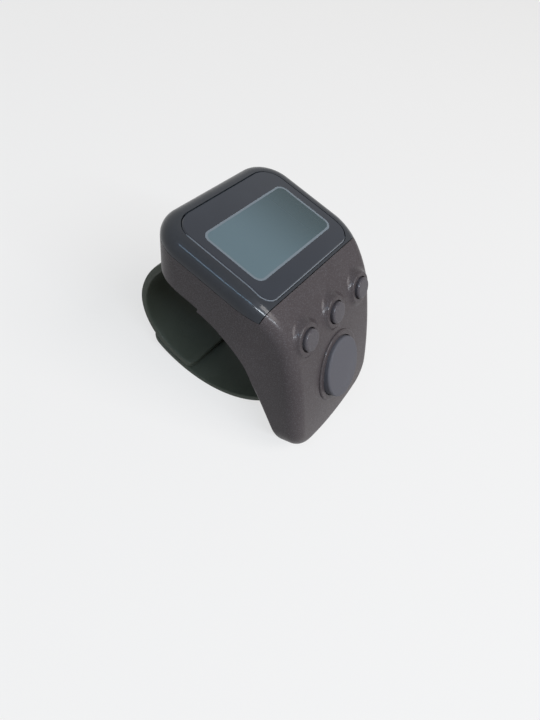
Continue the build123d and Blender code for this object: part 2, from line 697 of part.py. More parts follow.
def zebra_strips():
    """Two rubber contact strips between glass and board."""
    away = (GLASS_LENGTH - ZEBRA_WIDTH) / 2
    strip = Box(REFLECTOR_WIDTH, ZEBRA_WIDTH, ZEBRA_HEIGHT)
    return [Pos(0, side * away, REFLECTOR_TOP - ZEBRA_HEIGHT / 2) * strip for side in (-1, 1)]


def main_board():
    """Circuit board under the display."""
    low = (-BOARD_WIDTH / 2, -BOARD_FRONT, BOARD_UNDER)
    board = box_between(low, (BOARD_WIDTH / 2, BOARD_BACK, BOARD_TOP))
    return fillet(board.edges().filter_by(Axis.Z), BOARD_THICK)


def controller_chip():
    """Round blob of black resin over the chip, under the board."""
    spot = Pos(-CHIP_X, CHIP_Y, BOARD_UNDER - STACK_GAP - CHIP_HEIGHT / 2)
    blob = spot * Cylinder(CHIP_DIAMETER / 2, CHIP_HEIGHT)
    return fillet(blob.edges().sort_by(Axis.Z)[0], CHIP_ROUND)


def quartz_crystal():
    """Small can of the clock crystal, lying under the board."""
    spot = Pos(CRYSTAL_X, CRYSTAL_Y, BOARD_UNDER - STACK_GAP - CRYSTAL_DIAMETER / 2)
    can = spot * Rot(UPRIGHT, 0, 0) * Cylinder(CRYSTAL_DIAMETER / 2, CRYSTAL_LENGTH)
    return fillet(can.edges().sort_by(Axis.Y)[-1], CRYSTAL_ROUND)


def backlight_led():
    """Light beside the reflector sheet."""
    return Pos(LED_X, 0, BOARD_TOP + STACK_GAP + LED_HEIGHT / 2) * Box(LED_WIDTH, LED_LENGTH, LED_HEIGHT)


def coin_cell():
    """Coin cell over its door."""
    cell = Pos(0, -CELL_Y, CELL_TOP - CELL_HEIGHT / 2) * Cylinder(CELL_DIAMETER / 2, CELL_HEIGHT)
    return fillet(cell.edges().filter_by(GeomType.CIRCLE), CELL_ROUND)


def negative_contact():
    """Leaf between the board and the top of the cell."""
    spot = Pos(0, -CELL_Y, CELL_TOP + STACK_GAP + CONTACT_THICK / 2)
    return spot * Box(CONTACT_WIDTH, CONTACT_LENGTH, CONTACT_THICK)


def positive_contact():
    """Bent strip from the board down the side of the cell."""
    inner = CELL_DIAMETER / 2 + FIT
    front = -CELL_Y - CONTACT_WIDTH / 2
    back = -CELL_Y + CONTACT_WIDTH / 2
    top = BOARD_UNDER - STACK_GAP
    low = CELL_TOP - CELL_HEIGHT + CELL_ROUND
    wall = box_between((inner, front, low), (inner + CONTACT_THICK, back, top))
    foot = box_between((inner, front, top - CONTACT_THICK), (inner + CONTACT_FOOT, back, top))
    return wall + foot


def key_board():
    """T-shaped circuit board under the keys, along the arm."""
    outline = []
    for width, run in ((KEY_BOARD_WIDTH, KEY_BOARD_STEP), (KEY_BOARD_NECK, KEY_BOARD_RUN)):
        outline.append(Pos(0, (KEY_BOARD_RISE - run) / 2) * Rectangle(width, KEY_BOARD_RISE + run))
    return on_keys(outline[0] + outline[1], KEY_BOARD_TOP - BOARD_THICK, KEY_BOARD_TOP)


def switch_spots():
    """Places of the four switches on the key plane: far, middle and near small key, then count key."""
    return small_key_spots() + [Pos(0, -COUNT_SWITCH_RUN)]


def switch_bodies():
    """Four square switch bodies, each with a round well for its plunger; the small keys' are lower."""
    outline = Rectangle(SWITCH_SIZE, SWITCH_SIZE) - Circle(PLUNGER_DIAMETER / 2 + PLUNGER_FIT)
    tops = [SMALL_SWITCH_TOP] * len(small_key_spots()) + [SWITCH_TOP]
    foot = KEY_BOARD_TOP + STACK_GAP
    return [on_keys(spot * outline, foot, top) for spot, top in zip(switch_spots(), tops)]


def plunger(spot, foot, top):
    """Round plunger that stands in a switch and moves with its key."""
    return on_keys(spot * Circle(PLUNGER_DIAMETER / 2), foot, top - STACK_GAP)


def small_button(spot):
    """Small round key with a flange under the case wall and a rounded top edge."""
    stem = on_keys(spot * Circle(SMALL_KEY_DIAMETER / 2), SMALL_KEY_FOOT, SMALL_KEY_TOP)
    stem = fillet(stem.faces().sort_by(Axis(KEYS.origin, KEYS.z_dir))[-1].edges(), KEY_ROUND)
    return stem + on_keys(spot * Circle(SMALL_KEY_DIAMETER / 2 + KEY_LIP), SMALL_KEY_FOOT, SMALL_FLANGE_TOP)


def count_button():
    """Large oval key, hollow below over its switch, with a stem in the middle of the hollow."""
    low = COUNT_FLANGE_TOP - KEY_FLANGE
    body = on_keys(oval(COUNT_KEY_WIDTH, COUNT_KEY_LENGTH), low, COUNT_KEY_TOP)
    body = fillet(body.faces().sort_by(Axis(KEYS.origin, KEYS.z_dir))[-1].edges(), KEY_ROUND)
    flange = oval(COUNT_KEY_WIDTH + 2 * KEY_LIP, COUNT_KEY_LENGTH + 2 * KEY_LIP)
    body = body + on_keys(flange, low, COUNT_FLANGE_TOP)
    hollow = oval(COUNT_KEY_WIDTH - 2 * COUNT_KEY_WALL, COUNT_KEY_LENGTH - 2 * COUNT_KEY_WALL)
    roof = COUNT_KEY_TOP - COUNT_KEY_WALL
    body = body - on_keys(hollow, low, roof)
    return body + on_keys(switch_spots()[-1] * Circle(STEM_DIAMETER / 2), COUNT_STEM_FOOT, roof)


def ribbon_cable():
    """Flat ribbon from the top of the main board to the top of the key board."""
    lift = STACK_GAP + RIBBON_THICK / 2
    level = BOARD_TOP + lift
    slope = down_slope(BEND_TURN)
    edge = BEND_END + lean(BEND_TURN) * (KEY_BOARD_TOP + lift) - slope * KEY_BOARD_RISE
    knee = edge - slope * ((level - edge.Y) / -slope.Y)
    start = Vector(RIBBON_LAP - BOARD_FRONT, level)
    path = FilletPolyline(start, knee, edge + slope * RIBBON_LAP, radius=RIBBON_BEND)
    sheet = extrude(Plane.YZ * trace(path, RIBBON_THICK), amount=RIBBON_WIDTH / 2, both=True)
    return Pos(RIBBON_X, 0, 0) * sheet


def plate_region(low, high):
    """Everything between two rises over the underside of the case, back to the end of the arm plate."""
    return across(joined(underside(low, PLATE_RUN) + underside_front(high, PLATE_RUN)), CASE_WIDTH)


def door_prism(shrink):
    """Upright prism of the cell door, made smaller all round by shrink."""
    return rounded_prism(DOOR_WIDTH - 2 * shrink, DOOR_FRONT - shrink, DOOR_BACK - shrink,
                         DOOR_CORNER, DOOR_CORNER)


def bottom_case():
    """Black lower shell with the door opening, posts for both boards, snap lugs and a rear flange."""
    back = box_between((-OVERRUN, -OVERRUN, -OVERRUN), (OVERRUN, PLATE_BACK, OVERRUN))
    plate = plate_region(PLATE_RECESS, PLATE_RECESS + PLATE) & plan_prism(WALL + FIT) & back
    low = PLATE_RECESS - FLOOR_DEPTH
    flange = box_between((-OVERRUN, FLANGE_FRONT, low), (OVERRUN, PLATE_BACK, low + FLANGE))
    plate = plate + (flange & plan_prism(FLANGE_INSET) & back_limit(FLANGE_INSET)) + lugs(0)
    plate = plate - (plate_region(0, PLATE_RECESS + DOOR_THICK + STACK_GAP) & door_prism(-FIT))
    plate = plate - door_prism(DOOR_LEDGE)
    boss = Circle(SCREW_DIAMETER / 2 + BOSS_WALL) - Circle(SCREW_DIAMETER / 2)
    spot = Pos(DOOR_SCREW_X, DOOR_SCREW_Y, DOOR_TOP + STACK_GAP)
    plate = plate - spot * extrude(Circle(SCREW_DIAMETER / 2 + BOSS_WALL), amount=PLATE)
    plate = plate + spot * extrude(boss, amount=DOOR_SCREW_LENGTH)
    half = POST_DIAMETER / 2
    for side in (-1, 1):
        low = (side * POST_X - half, -POST_Y - half, PLATE_TOP - PLATE / 2)
        high = (side * POST_X + half, half - POST_Y, BOARD_UNDER - STACK_GAP)
        plate = plate + box_between(low, high)
        foot = hollow_level(-KEY_POST_RISE, PLATE_RECESS + PLATE / 2)
        top = KEY_BOARD_TOP - BOARD_THICK - STACK_GAP
        plate = plate + on_keys(Pos(side * KEY_POST_X, KEY_POST_RISE) * Circle(half), foot, top)
    for spot in case_screw_spots():
        level = plate_level(CASE_SCREW_RUN, PLATE_RECESS)
        plate = plate - on_keys(spot * Circle(SCREW_DIAMETER / 2 + FIT), level - PLATE, level + 2 * PLATE)
        seat = Circle(SCREW_HEAD_DIAMETER / 2 + FIT)
        plate = plate - on_keys(spot * seat, level - PLATE, level + SCREW_HEAD_HEIGHT)
    return plate


def battery_door():
    """Screwed door under the coin cell, curved with the plate."""
    door = plate_region(PLATE_RECESS, PLATE_RECESS + DOOR_THICK) & door_prism(0)
    spot = Pos(DOOR_SCREW_X, DOOR_SCREW_Y, DOOR_TOP - DOOR_THICK)
    door = door - spot * Cylinder(SCREW_DIAMETER / 2 + FIT, OVERRUN)
    return door - spot * extrude(Circle(SCREW_HEAD_DIAMETER / 2 + FIT), amount=SCREW_HEAD_HEIGHT)


def screw(length):
    """Small screw that points up from the underside of its head, with a cross slot."""
    head = extrude(Circle(SCREW_HEAD_DIAMETER / 2), amount=SCREW_HEAD_HEIGHT)
    shank = extrude(Circle(SCREW_DIAMETER / 2 - STACK_GAP), amount=SCREW_HEAD_HEIGHT + length)
    slot = Rectangle(SCREW_SLOT_LENGTH, SCREW_SLOT_WIDTH)
    cross = slot + Rot(0, 0, UPRIGHT) * slot
    return head + shank - extrude(cross, amount=SCREW_SLOT_DEPTH)


def battery_door_screw():
    """Screw of the cell door."""
    return Pos(DOOR_SCREW_X, DOOR_SCREW_Y, DOOR_TOP - DOOR_THICK) * screw(DOOR_SCREW_LENGTH - STACK_GAP)


def case_screws():
    """Two screws that hold the bottom case to the arm."""
    seat = KEYS.offset(plate_level(CASE_SCREW_RUN, PLATE_RECESS))
    return [seat * spot * screw(CASE_SCREW_LENGTH) for spot in case_screw_spots()]


def radial_plane(middle, radius, angle):
    """Plane on a strap circle, with local Z out of the loop and local X along the finger."""
    spot = middle + polar(angle) * radius
    way = polar(angle)
    return Plane(origin=(0, spot.X, spot.Y), x_dir=(1, 0, 0), z_dir=(0, way.X, way.Y))


def peg_row(row):
    """Plane of a row of peg slots on the inner face of the front strap, the first one at the pegs."""
    inner = LOOP_BASE_RADIUS - STRAP_THICK
    angle = PEG_BEARING + math.degrees(row * HOLE_ROW_PITCH / inner)
    if angle < BASE_BEARING:
        return radial_plane(LOOP_BASE, inner, angle)
    corner = LOOP_CORNER_RADIUS + STRAP_GAP
    return radial_plane(LOOP_CORNER, corner, BASE_BEARING + (angle - BASE_BEARING) * inner / corner)


def front_strap():
    """Long front half of the strap, with rows of peg slots and a barrel on the hinge pin."""
    outer = LOOP_BASE_RADIUS
    inner = LOOP_BASE_RADIUS - STRAP_THICK
    turn = BASE_BEARING - HINGE_BEARING
    rest = -STRAP_END_ANGLE - BASE_BEARING
    corner = LOOP_CORNER_RADIUS + STRAP_GAP
    edges = [CenterArc(LOOP_BASE, outer, HINGE_BEARING, turn),
             CenterArc(LOOP_CORNER, corner + STRAP_THICK, BASE_BEARING, rest),
             CenterArc(LOOP_CORNER, corner, -STRAP_END_ANGLE, -rest),
             CenterArc(LOOP_BASE, inner, BASE_BEARING, -turn)]
    band = across(joined(edges), STRAP_WIDTH)
    band = band + bar(HINGE, ROOT_DIAMETER, STRAP_WIDTH)
    wide = PEG_DIAMETER + 2 * HOLE_CLEARANCE
    slot = Rot(0, 0, UPRIGHT) * SlotOverall(wide + HOLE_STRETCH, wide)
    for row in range(HOLE_ROWS):
        for side in (-1, 1):
            place = peg_row(row) * Pos(side * PEG_PITCH / 2, -HOLE_STRETCH / 2)
            band = band - extrude(place * slot, amount=STRAP_THICK * 2, both=True)
    return band - bar(HINGE, PIN_DIAMETER + 2 * PIN_FIT, CASE_WIDTH)


def rear_strap():
    """Short back half of the strap, with two pegs and a barrel on its own pin."""
    turn = ROOT_ANGLE - BACK_BEARING
    sweep = BACK_BEARING - BASE_BEARING
    thick = BACK_STRAP_THICK
    edges = [CenterArc(LOOP_BACK, LOOP_BACK_RADIUS, ROOT_ANGLE, -turn),
             CenterArc(LOOP_CORNER, LOOP_CORNER_RADIUS, BACK_BEARING, -sweep),
             CenterArc(LOOP_BASE, LAP_RADIUS, BASE_BEARING, -LAP_ANGLE),
             CenterArc(LOOP_BASE, LAP_RADIUS - thick, BASE_BEARING - LAP_ANGLE, LAP_ANGLE),
             CenterArc(LOOP_CORNER, LOOP_CORNER_RADIUS - thick, BASE_BEARING, sweep),
             CenterArc(LOOP_BACK, LOOP_BACK_RADIUS - thick, BACK_BEARING, turn)]
    band = across(joined(edges), STRAP_WIDTH)
    for side in (-1, 1):
        inner = side * ROOT_WIDTH / 2
        outer = side * STRAP_WIDTH
        low = (min(inner, outer), 0, -FLOOR_DEPTH - FIT)
        band = band - box_between(low, (max(inner, outer), OVERRUN, 0))
    band = band + bar(BACK_PIN, ROOT_DIAMETER, ROOT_WIDTH)
    plane = radial_plane(LOOP_BASE, LAP_RADIUS - thick / 2, PEG_BEARING)
    for side in (-1, 1):
        peg = plane * Pos(side * PEG_PITCH / 2, 0) * Circle(PEG_DIAMETER / 2)
        band = band + extrude(peg, amount=thick / 2 + PEG_HEIGHT)
    return band - bar(BACK_PIN, PIN_DIAMETER + 2 * PIN_FIT, STRAP_WIDTH)


def foot_middle():
    """Middle of the rounding between the foot and the end of the arm."""
    slope = down_slope(BEND_TURN)
    start = HEEL + FOOT_UP * FOOT_ROUND
    ahead = (ARM_LENGTH - FOOT_ROUND - (start - BEND_END).dot(slope)) / FOOT_WAY.dot(slope)
    return start + FOOT_WAY * ahead


def stance():
    """Turn about X that lets the counter stand on the foot of its arm and on its strap."""
    way = foot_middle() - LOOP_BASE
    lift = math.asin((LOOP_BASE_RADIUS - FOOT_ROUND) / way.length)
    return math.degrees(lift - math.atan2(-way.Y, -way.X))


def pieces():
    """All pieces by name, in the case's own frame."""
    far, middle, near, count = switch_spots()
    return {
        "top_case": top_case(),
        "display_bezel": display_bezel(),
        "display_lens": display_lens(),
        "lcd_glass": lcd_glass(),
        "lcd_reflector": lcd_reflector(),
        "zebra_strips": zebra_strips(),
        "main_board": main_board(),
        "controller_chip": controller_chip(),
        "quartz_crystal": quartz_crystal(),
        "backlight_led": backlight_led(),
        "coin_cell": coin_cell(),
        "negative_contact": negative_contact(),
        "positive_contact": positive_contact(),
        "ribbon_cable": ribbon_cable(),
        "key_board": key_board(),
        "switch_bodies": switch_bodies(),
        "count_plunger": plunger(count, PLUNGER_FOOT, COUNT_STEM_FOOT),
        "reset_plunger": plunger(far, SMALL_PLUNGER_FOOT, SMALL_KEY_FOOT),
        "lock_plunger": plunger(middle, SMALL_PLUNGER_FOOT, SMALL_KEY_FOOT),
        "light_plunger": plunger(near, SMALL_PLUNGER_FOOT, SMALL_KEY_FOOT),
        "count_button": count_button(),
        "reset_button": small_button(far),
        "lock_button": small_button(middle),
        "light_button": small_button(near),
        "bottom_case": bottom_case(),
        "battery_door": battery_door(),
        "battery_door_screw": battery_door_screw(),
        "case_screws": case_screws(),
        "front_strap": front_strap(),
        "front_strap_pin": bar(HINGE, PIN_DIAMETER, PIN_LENGTH),
        "rear_strap": rear_strap(),
        "rear_strap_pin": bar(BACK_PIN, PIN_DIAMETER, PIN_LENGTH),
    }


def whole(piece):
    """One shape of a piece or of a group of like pieces."""
    return Compound(piece) if isinstance(piece, list) else piece


def main():
    """Build every piece, stand the counter on the ground and write one file for each piece."""
    turned = {name: Rot(stance(), 0, 0) * whole(piece) for name, piece in pieces().items()}
    box = Compound(list(turned.values())).bounding_box()
    place = Pos(-box.center().X, -box.center().Y, -box.min.Z)
    os.makedirs("parts", exist_ok=True)
    for name, piece in turned.items():
        export_step(place * piece, f"parts/{name}.step")


if __name__ == "__main__":
    main()
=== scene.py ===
"""Looks of a finger-ring tally counter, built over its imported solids."""
import json
import logging
import math
from dataclasses import dataclass
from enum import Enum
from functools import cached_property

import bpy
import numpy as np
from mathutils import Matrix, Quaternion, Vector


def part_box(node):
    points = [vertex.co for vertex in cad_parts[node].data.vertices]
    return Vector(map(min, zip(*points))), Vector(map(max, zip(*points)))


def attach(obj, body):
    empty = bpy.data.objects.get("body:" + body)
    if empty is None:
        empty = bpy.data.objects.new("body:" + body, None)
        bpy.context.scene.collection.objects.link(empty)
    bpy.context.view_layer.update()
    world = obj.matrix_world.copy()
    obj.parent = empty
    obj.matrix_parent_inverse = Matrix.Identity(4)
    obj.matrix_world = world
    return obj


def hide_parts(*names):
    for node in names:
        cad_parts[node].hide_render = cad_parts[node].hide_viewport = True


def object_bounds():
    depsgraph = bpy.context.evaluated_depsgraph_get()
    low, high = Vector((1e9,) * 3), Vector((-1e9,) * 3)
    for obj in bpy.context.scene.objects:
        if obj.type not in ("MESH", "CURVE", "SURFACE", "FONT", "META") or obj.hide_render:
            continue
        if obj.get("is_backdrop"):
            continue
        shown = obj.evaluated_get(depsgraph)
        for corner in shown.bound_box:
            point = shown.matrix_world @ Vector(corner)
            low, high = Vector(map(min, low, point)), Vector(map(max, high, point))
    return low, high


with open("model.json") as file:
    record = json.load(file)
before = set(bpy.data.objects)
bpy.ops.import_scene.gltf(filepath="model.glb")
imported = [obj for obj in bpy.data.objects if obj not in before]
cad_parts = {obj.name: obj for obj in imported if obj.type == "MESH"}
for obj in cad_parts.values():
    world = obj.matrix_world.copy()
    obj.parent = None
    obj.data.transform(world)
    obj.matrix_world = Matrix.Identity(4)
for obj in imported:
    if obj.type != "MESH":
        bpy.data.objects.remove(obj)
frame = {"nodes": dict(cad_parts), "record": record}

LOG = logging.getLogger("tally_counter")
MM = 0.001
WHITE = (1.0, 1.0, 1.0)
Triple = tuple[float, float, float]
Colour = Triple
Socket = bpy.types.NodeSocket
Source = Socket | float | tuple[float, ...]


class Channel(Enum):
    """Sockets of the principled shader that patterns and plain values go to."""

    BASE = "Base Color"
    ROUGH = "Roughness"
    METAL = "Metallic"
    ALPHA = "Alpha"
    NORMAL = "Normal"
    COAT = "Coat Weight"
    COAT_ROUGH = "Coat Roughness"
    SPECULAR = "Specular IOR Level"
    GLOW = "Emission Strength"
    GLOW_COLOUR = "Emission Color"


class Body(Enum):
    """Moving bodies that new pieces ride on."""

    CASE = "case"
    STRAP = "strap"


@dataclass(frozen=True)
class CaseFrame:
    """The case's own frame in millimetres: X along the finger, Y to the back, Z out of the display.

    Attributes:
        turn: Turn about X from the case's frame to the standing counter, in radians.
        back: Shift along Y after the turn, in millimetres.
        up: Shift along Z after the turn, in millimetres.
    """

    turn: float
    back: float
    up: float

    @classmethod
    def from_record(cls, record: dict, spot: float = 3.0, proud: float = 0.12) -> "CaseFrame":
        """Finds the frame from the record's mount on the flat of the lens.

        Args:
            record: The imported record.
            spot: How far behind the middle of the display the mount lies.
            proud: How far the lens stands over the case.

        Returns:
            The case's frame.
        """
        mount = next(m for m in record["mounts"] if m["name"] == "display_face")
        turn = math.atan2(-mount["axis"][1], mount["axis"][2])
        back = mount["pos_m"][1] / MM - spot * math.cos(turn) + proud * math.sin(turn)
        up = mount["pos_m"][2] / MM - spot * math.sin(turn) - proud * math.cos(turn)
        return cls(turn, back, up)

    @property
    def matrix(self) -> Matrix:
        """Matrix from case millimetres to the standing counter in metres."""
        move = Matrix.Translation((0, self.back * MM, self.up * MM))
        return move @ Matrix.Rotation(self.turn, 4, "X") @ Matrix.Scale(MM, 4)

    def place(self, points: np.ndarray) -> np.ndarray:
        """Carries an array of points from case millimetres to the standing counter in metres."""
        full = np.array(self.matrix)
        return points @ full[:3, :3].T + full[:3, 3]

    def side_view(self, point: Vector) -> np.ndarray:
        """Y and Z in case millimetres of a point of the standing counter in metres."""
        spot = self.matrix.inverted() @ Vector(point)
        return np.array(spot[1:])


@dataclass
class NodeTree:
    """Short ways to add nodes to a material or a node group.

    Attributes:
        tree: The node tree that takes the nodes.
    """

    tree: bpy.types.NodeTree

    def add(
        self,
        kind: str,
        links: dict[str | int, Source] | None = None,
        **values: str | bool | bpy.types.NodeTree,
    ) -> bpy.types.Node:
        """Adds a node, sets its properties and feeds its inputs.

        Args:
            kind: Blender's name of the node type.
            links: Input name or number to the socket or plain value that feeds it.
            **values: Properties of the node.

        Returns:
            The new node.
        """
        node = self.tree.nodes.new(kind)
        for name, value in values.items():
            setattr(node, name, value)
        for key, source in (links or {}).items():
            self.feed(node.inputs[key], source)
        return node

    def feed(self, socket: Socket, source: Source) -> None:
        """Links a socket, or sets its plain value.

        Args:
            socket: The input to feed.
            source: Another socket, a number, a vector or a colour.
        """
        if isinstance(source, Socket):
            self.tree.links.new(source, socket)
        elif socket.type == "RGBA" and len(source) == 3:
            socket.default_value = (*source, 1.0)
        else:
            socket.default_value = source

    def sum(
        self, operation: str, a: Source, b: Source = 0.0, c: Source = 0.0, clamp: bool = False
    ) -> Socket:
        """One math node by Blender's name; clamp keeps its result between 0 and 1."""
        links = {0: a, 1: b, 2: c}
        return self.add("ShaderNodeMath", links, operation=operation, use_clamp=clamp).outputs[0]

    def mix(self, share: Source, a: Source, b: Source) -> Socket:
        """Mix of two colours by the share of the second one."""
        node = self.add("ShaderNodeMix", {0: share, 6: a, 7: b}, data_type="RGBA")
        return node.outputs[2]

    def ramp(self, value: Socket, low: Source, high: Source) -> Socket:
        """Smooth step of a value, from 0 at low to 1 at high."""
        links = {"Value": value, "From Min": low, "From Max": high}
        return self.add("ShaderNodeMapRange", links, interpolation_type="SMOOTHSTEP").outputs[0]

    def noise(self, spot: Socket, scale: Source, detail: float) -> Socket:
        """Noise from 0 to 1 at a place, by its scale per metre and its detail."""
        links = {"Vector": spot, "Scale": scale, "Detail": detail}
        return self.add("ShaderNodeTexNoise", links).outputs[0]

    def across(self, spot: Socket) -> Socket:
        """Place along the finger, in millimetres, from object coordinates."""
        parts = self.add("ShaderNodeSeparateXYZ", {0: spot})
        return self.sum("MULTIPLY", parts.outputs[0], 1 / MM)

    def seen(self) -> Socket:
        """1 for rays that show a thing directly, by reflection or through glass, and 0 for others.

        Returns:
            Socket of the value.
        """
        path = self.add("ShaderNodeLightPath").outputs
        direct = self.sum("ADD", path["Is Camera Ray"], path["Is Glossy Ray"])
        return self.sum("ADD", direct, path["Is Transmission Ray"], clamp=True)

    def group(self, tree: bpy.types.NodeTree, **inputs: float) -> Socket:
        """Places a node group and sets its inputs.

        Args:
            tree: The group.
            **inputs: Input names, in lower case, and their plain values.

        Returns:
            The group's one output.
        """
        node = self.add("ShaderNodeGroup", node_tree=tree)
        for name, value in inputs.items():
            node.inputs[name.capitalize()].default_value = value
        return node.outputs[0]


class Effects:
    """Shader node groups that several finishes share; each gives one value.

    Attributes:
        MIDDLE: Middle of a noise, and the end of a stripe in its pitch.
        GRAIN_DETAIL: Detail of the grain's noise.
        BROAD_DETAIL: Detail of the patches' broad noise.
        FINE_DETAIL: Detail of the patches' finer noise.
        FINER: How many times finer that noise is.
        PATCH_EDGE: Values of the broad noise between which a patch comes up.
        SCUFF_DETAIL: Detail of the scratches' noise.
        SCUFF_TURN: Turn of the scratches about X, Y and Z, in radians.
        SCUFF_SCALE: Scale of their noise along X, Y and Z.
        SCUFF_PEAKS: Values of that noise between which a scratch comes up.
        SHADE_SPAN: Where the painted shade on the display starts and ends, in half widths across the
            finger.
    """

    MIDDLE = 0.5
    GRAIN_DETAIL = 2.0
    BROAD_DETAIL = 3.0
    FINE_DETAIL = 4.0
    FINER = 4.3
    PATCH_EDGE = (0.42, 0.72)
    SCUFF_DETAIL = 5.0
    SCUFF_TURN = (0.3, 0.2, 0.9)
    SCUFF_SCALE = (1.0, 12.0, 12.0)
    SCUFF_PEAKS = (0.6, 0.68)
    # Span of the painted shade on the display's far side.
    SHADE_SPAN = (-0.6, 1.25)

    def __init__(self, case: CaseFrame) -> None:
        """Builds each group once.

        Args:
            case: The case's frame, for patterns that follow the display.
        """
        self.case = case
        self.grain = self._grain()
        self.patches = self._patches()
        self.flakes = self._flakes()
        self.scuffs = self._scuffs()
        self.stripes = self._stripes()
        # Painted shade on the display's far side.
        self.side_shade = self._side_shade()
        self.window = self._window()

    def _start(
        self, name: str, inputs: dict[str, float], output: str
    ) -> tuple[NodeTree, dict[str, Socket]]:
        """Starts a group.

        Args:
            name: Name of the group.
            inputs: Input names and default values.
            output: Name of its one output.

        Returns:
            A helper that adds nodes, and the group's input sockets by name. The socket "Spot"
            among them gives the object's own coordinates.
        """
        group = bpy.data.node_groups.new(name, "ShaderNodeTree")
        kind = "NodeSocketFloat"
        for label, value in inputs.items():
            socket = group.interface.new_socket(label, in_out="INPUT", socket_type=kind)
            socket.default_value = value
        group.interface.new_socket(output, in_out="OUTPUT", socket_type=kind)
        t = NodeTree(group)
        source = t.add("NodeGroupInput")
        sockets = {label: source.outputs[label] for label in inputs}
        sockets["Spot"] = t.add("ShaderNodeTexCoord").outputs["Object"]
        return t, sockets

    def _end(self, t: NodeTree, value: Socket) -> bpy.types.NodeTree:
        """Gives a group its output, and returns the group."""
        t.add("NodeGroupOutput", {0: value})
        return t.tree

    def _grain(self) -> bpy.types.NodeTree:
        """Fine even grain: a noise at a set scale, stretched about its middle by the contrast.

        Returns:
            The group.
        """
        t, given = self._start("fine_grain", {"Scale": 4000.0, "Contrast": 2.0}, "Grain")
        noise = t.noise(given["Spot"], given["Scale"], self.GRAIN_DETAIL)
        off = t.sum("SUBTRACT", noise, self.MIDDLE)
        return self._end(t, t.sum("MULTIPLY_ADD", off, given["Contrast"], self.MIDDLE, clamp=True))

    def _patches(self) -> bpy.types.NodeTree:
        """Soft patches of handling and dust: a broad noise times a finer one, times the amount.

        Returns:
            The group.
        """
        t, given = self._start("handled_patches", {"Scale": 160.0, "Amount": 0.5}, "Patch")
        broad = t.noise(given["Spot"], given["Scale"], self.BROAD_DETAIL)
        finer_scale = t.sum("MULTIPLY", given["Scale"], self.FINER)
        finer = t.noise(given["Spot"], finer_scale, self.FINE_DETAIL)
        both = t.sum("MULTIPLY", t.ramp(broad, *self.PATCH_EDGE), finer)
        return self._end(t, t.sum("MULTIPLY", both, given["Amount"], clamp=True))

    def _flakes(self) -> bpy.types.NodeTree:
        """Bright flakes of metallic paint: cells of a Voronoi pattern, of which a share shows.

        Returns:
            The group.
        """
        t, given = self._start("paint_flakes", {"Scale": 7000.0, "Share": 0.2}, "Flake")
        links = {"Vector": given["Spot"], "Scale": given["Scale"]}
        cells = t.add("ShaderNodeTexVoronoi", links)
        lot = t.add("ShaderNodeSeparateColor", {0: cells.outputs["Color"]}).outputs[0]
        return self._end(t, t.sum("LESS_THAN", lot, given["Share"]))

    def _scuffs(self) -> bpy.types.NodeTree:
        """Hairline scratches: a noise that is twelve times longer one way, cut to its peaks.

        Returns:
            The group.
        """
        t, given = self._start("hairline_scuffs", {"Scale": 60.0, "Amount": 0.3}, "Scuff")
        links = {"Vector": given["Spot"], "Rotation": self.SCUFF_TURN, "Scale": self.SCUFF_SCALE}
        turned = t.add("ShaderNodeMapping", links).outputs[0]
        noise = t.noise(turned, given["Scale"], self.SCUFF_DETAIL)
        peaks = t.ramp(noise, *self.SCUFF_PEAKS)
        return self._end(t, t.sum("MULTIPLY", peaks, given["Amount"]))

    def _stripes(self) -> bpy.types.NodeTree:
        """Even stripes across the finger: 1 over the first half of each pitch, 0 over the rest.

        Returns:
            The group.
        """
        t, given = self._start("even_stripes", {"Pitch": 0.5}, "Stripe")
        step = t.sum("FRACT", t.sum("DIVIDE", t.across(given["Spot"]), given["Pitch"]))
        return self._end(t, t.sum("LESS_THAN", step, self.MIDDLE))

    def _side_shade(self) -> bpy.types.NodeTree:
        """Painted shade across the finger: a smooth step from 0 at the start to 1 at the end.

        Returns:
            The group.
        """
        t, given = self._start("painted_side_shade", {"Start": -5.5, "End": 11.5}, "Fade")
        step = t.ramp(t.across(given["Spot"]), given["Start"], given["End"])
        return self._end(t, step)

    def _window(self) -> bpy.types.NodeTree:
        """Distance in millimetres from a round-cornered window on the display, below zero inside.

        It is the length of the positive part of |p| less half the size and plus the corner, less
        the corner.

        Returns:
            The group.
        """
        sizes = {"Wide": 9.0, "Long": 5.0, "Corner": 1.2, "Shift": 0.0}
        t, given = self._start("display_window", sizes, "Distance")
        place = {
            "Vector": given["Spot"],
            "Location": self.case.matrix.inverted().translation,
            "Rotation": (-self.case.turn, 0, 0),
            "Scale": (1 / MM, 1 / MM, 1 / MM),
        }
        parts = t.add("ShaderNodeSeparateXYZ", {0: t.add("ShaderNodeMapping", place).outputs[0]})
        spots = (parts.outputs[0], t.sum("SUBTRACT", parts.outputs[1], given["Shift"]))
        squares = []
        for spot, half in zip(spots, ("Wide", "Long")):
            size = t.sum("ABSOLUTE", spot)
            inner = t.sum("SUBTRACT", given[half], given["Corner"])
            over = t.sum("MAXIMUM", t.sum("SUBTRACT", size, inner), 0.0)
            squares.append(t.sum("MULTIPLY", over, over))
        away = t.sum("SQRT", t.sum("ADD", *squares))
        return self._end(t, t.sum("SUBTRACT", away, given["Corner"]))

    def painted_far_shade(self, t: NodeTree, wide: float) -> Socket:
        """Places the painted shade on a display's far side in a material, by half the display's
        width.
        """
        start, end = self.SHADE_SPAN
        return t.group(self.side_shade, start=start * wide, end=end * wide)


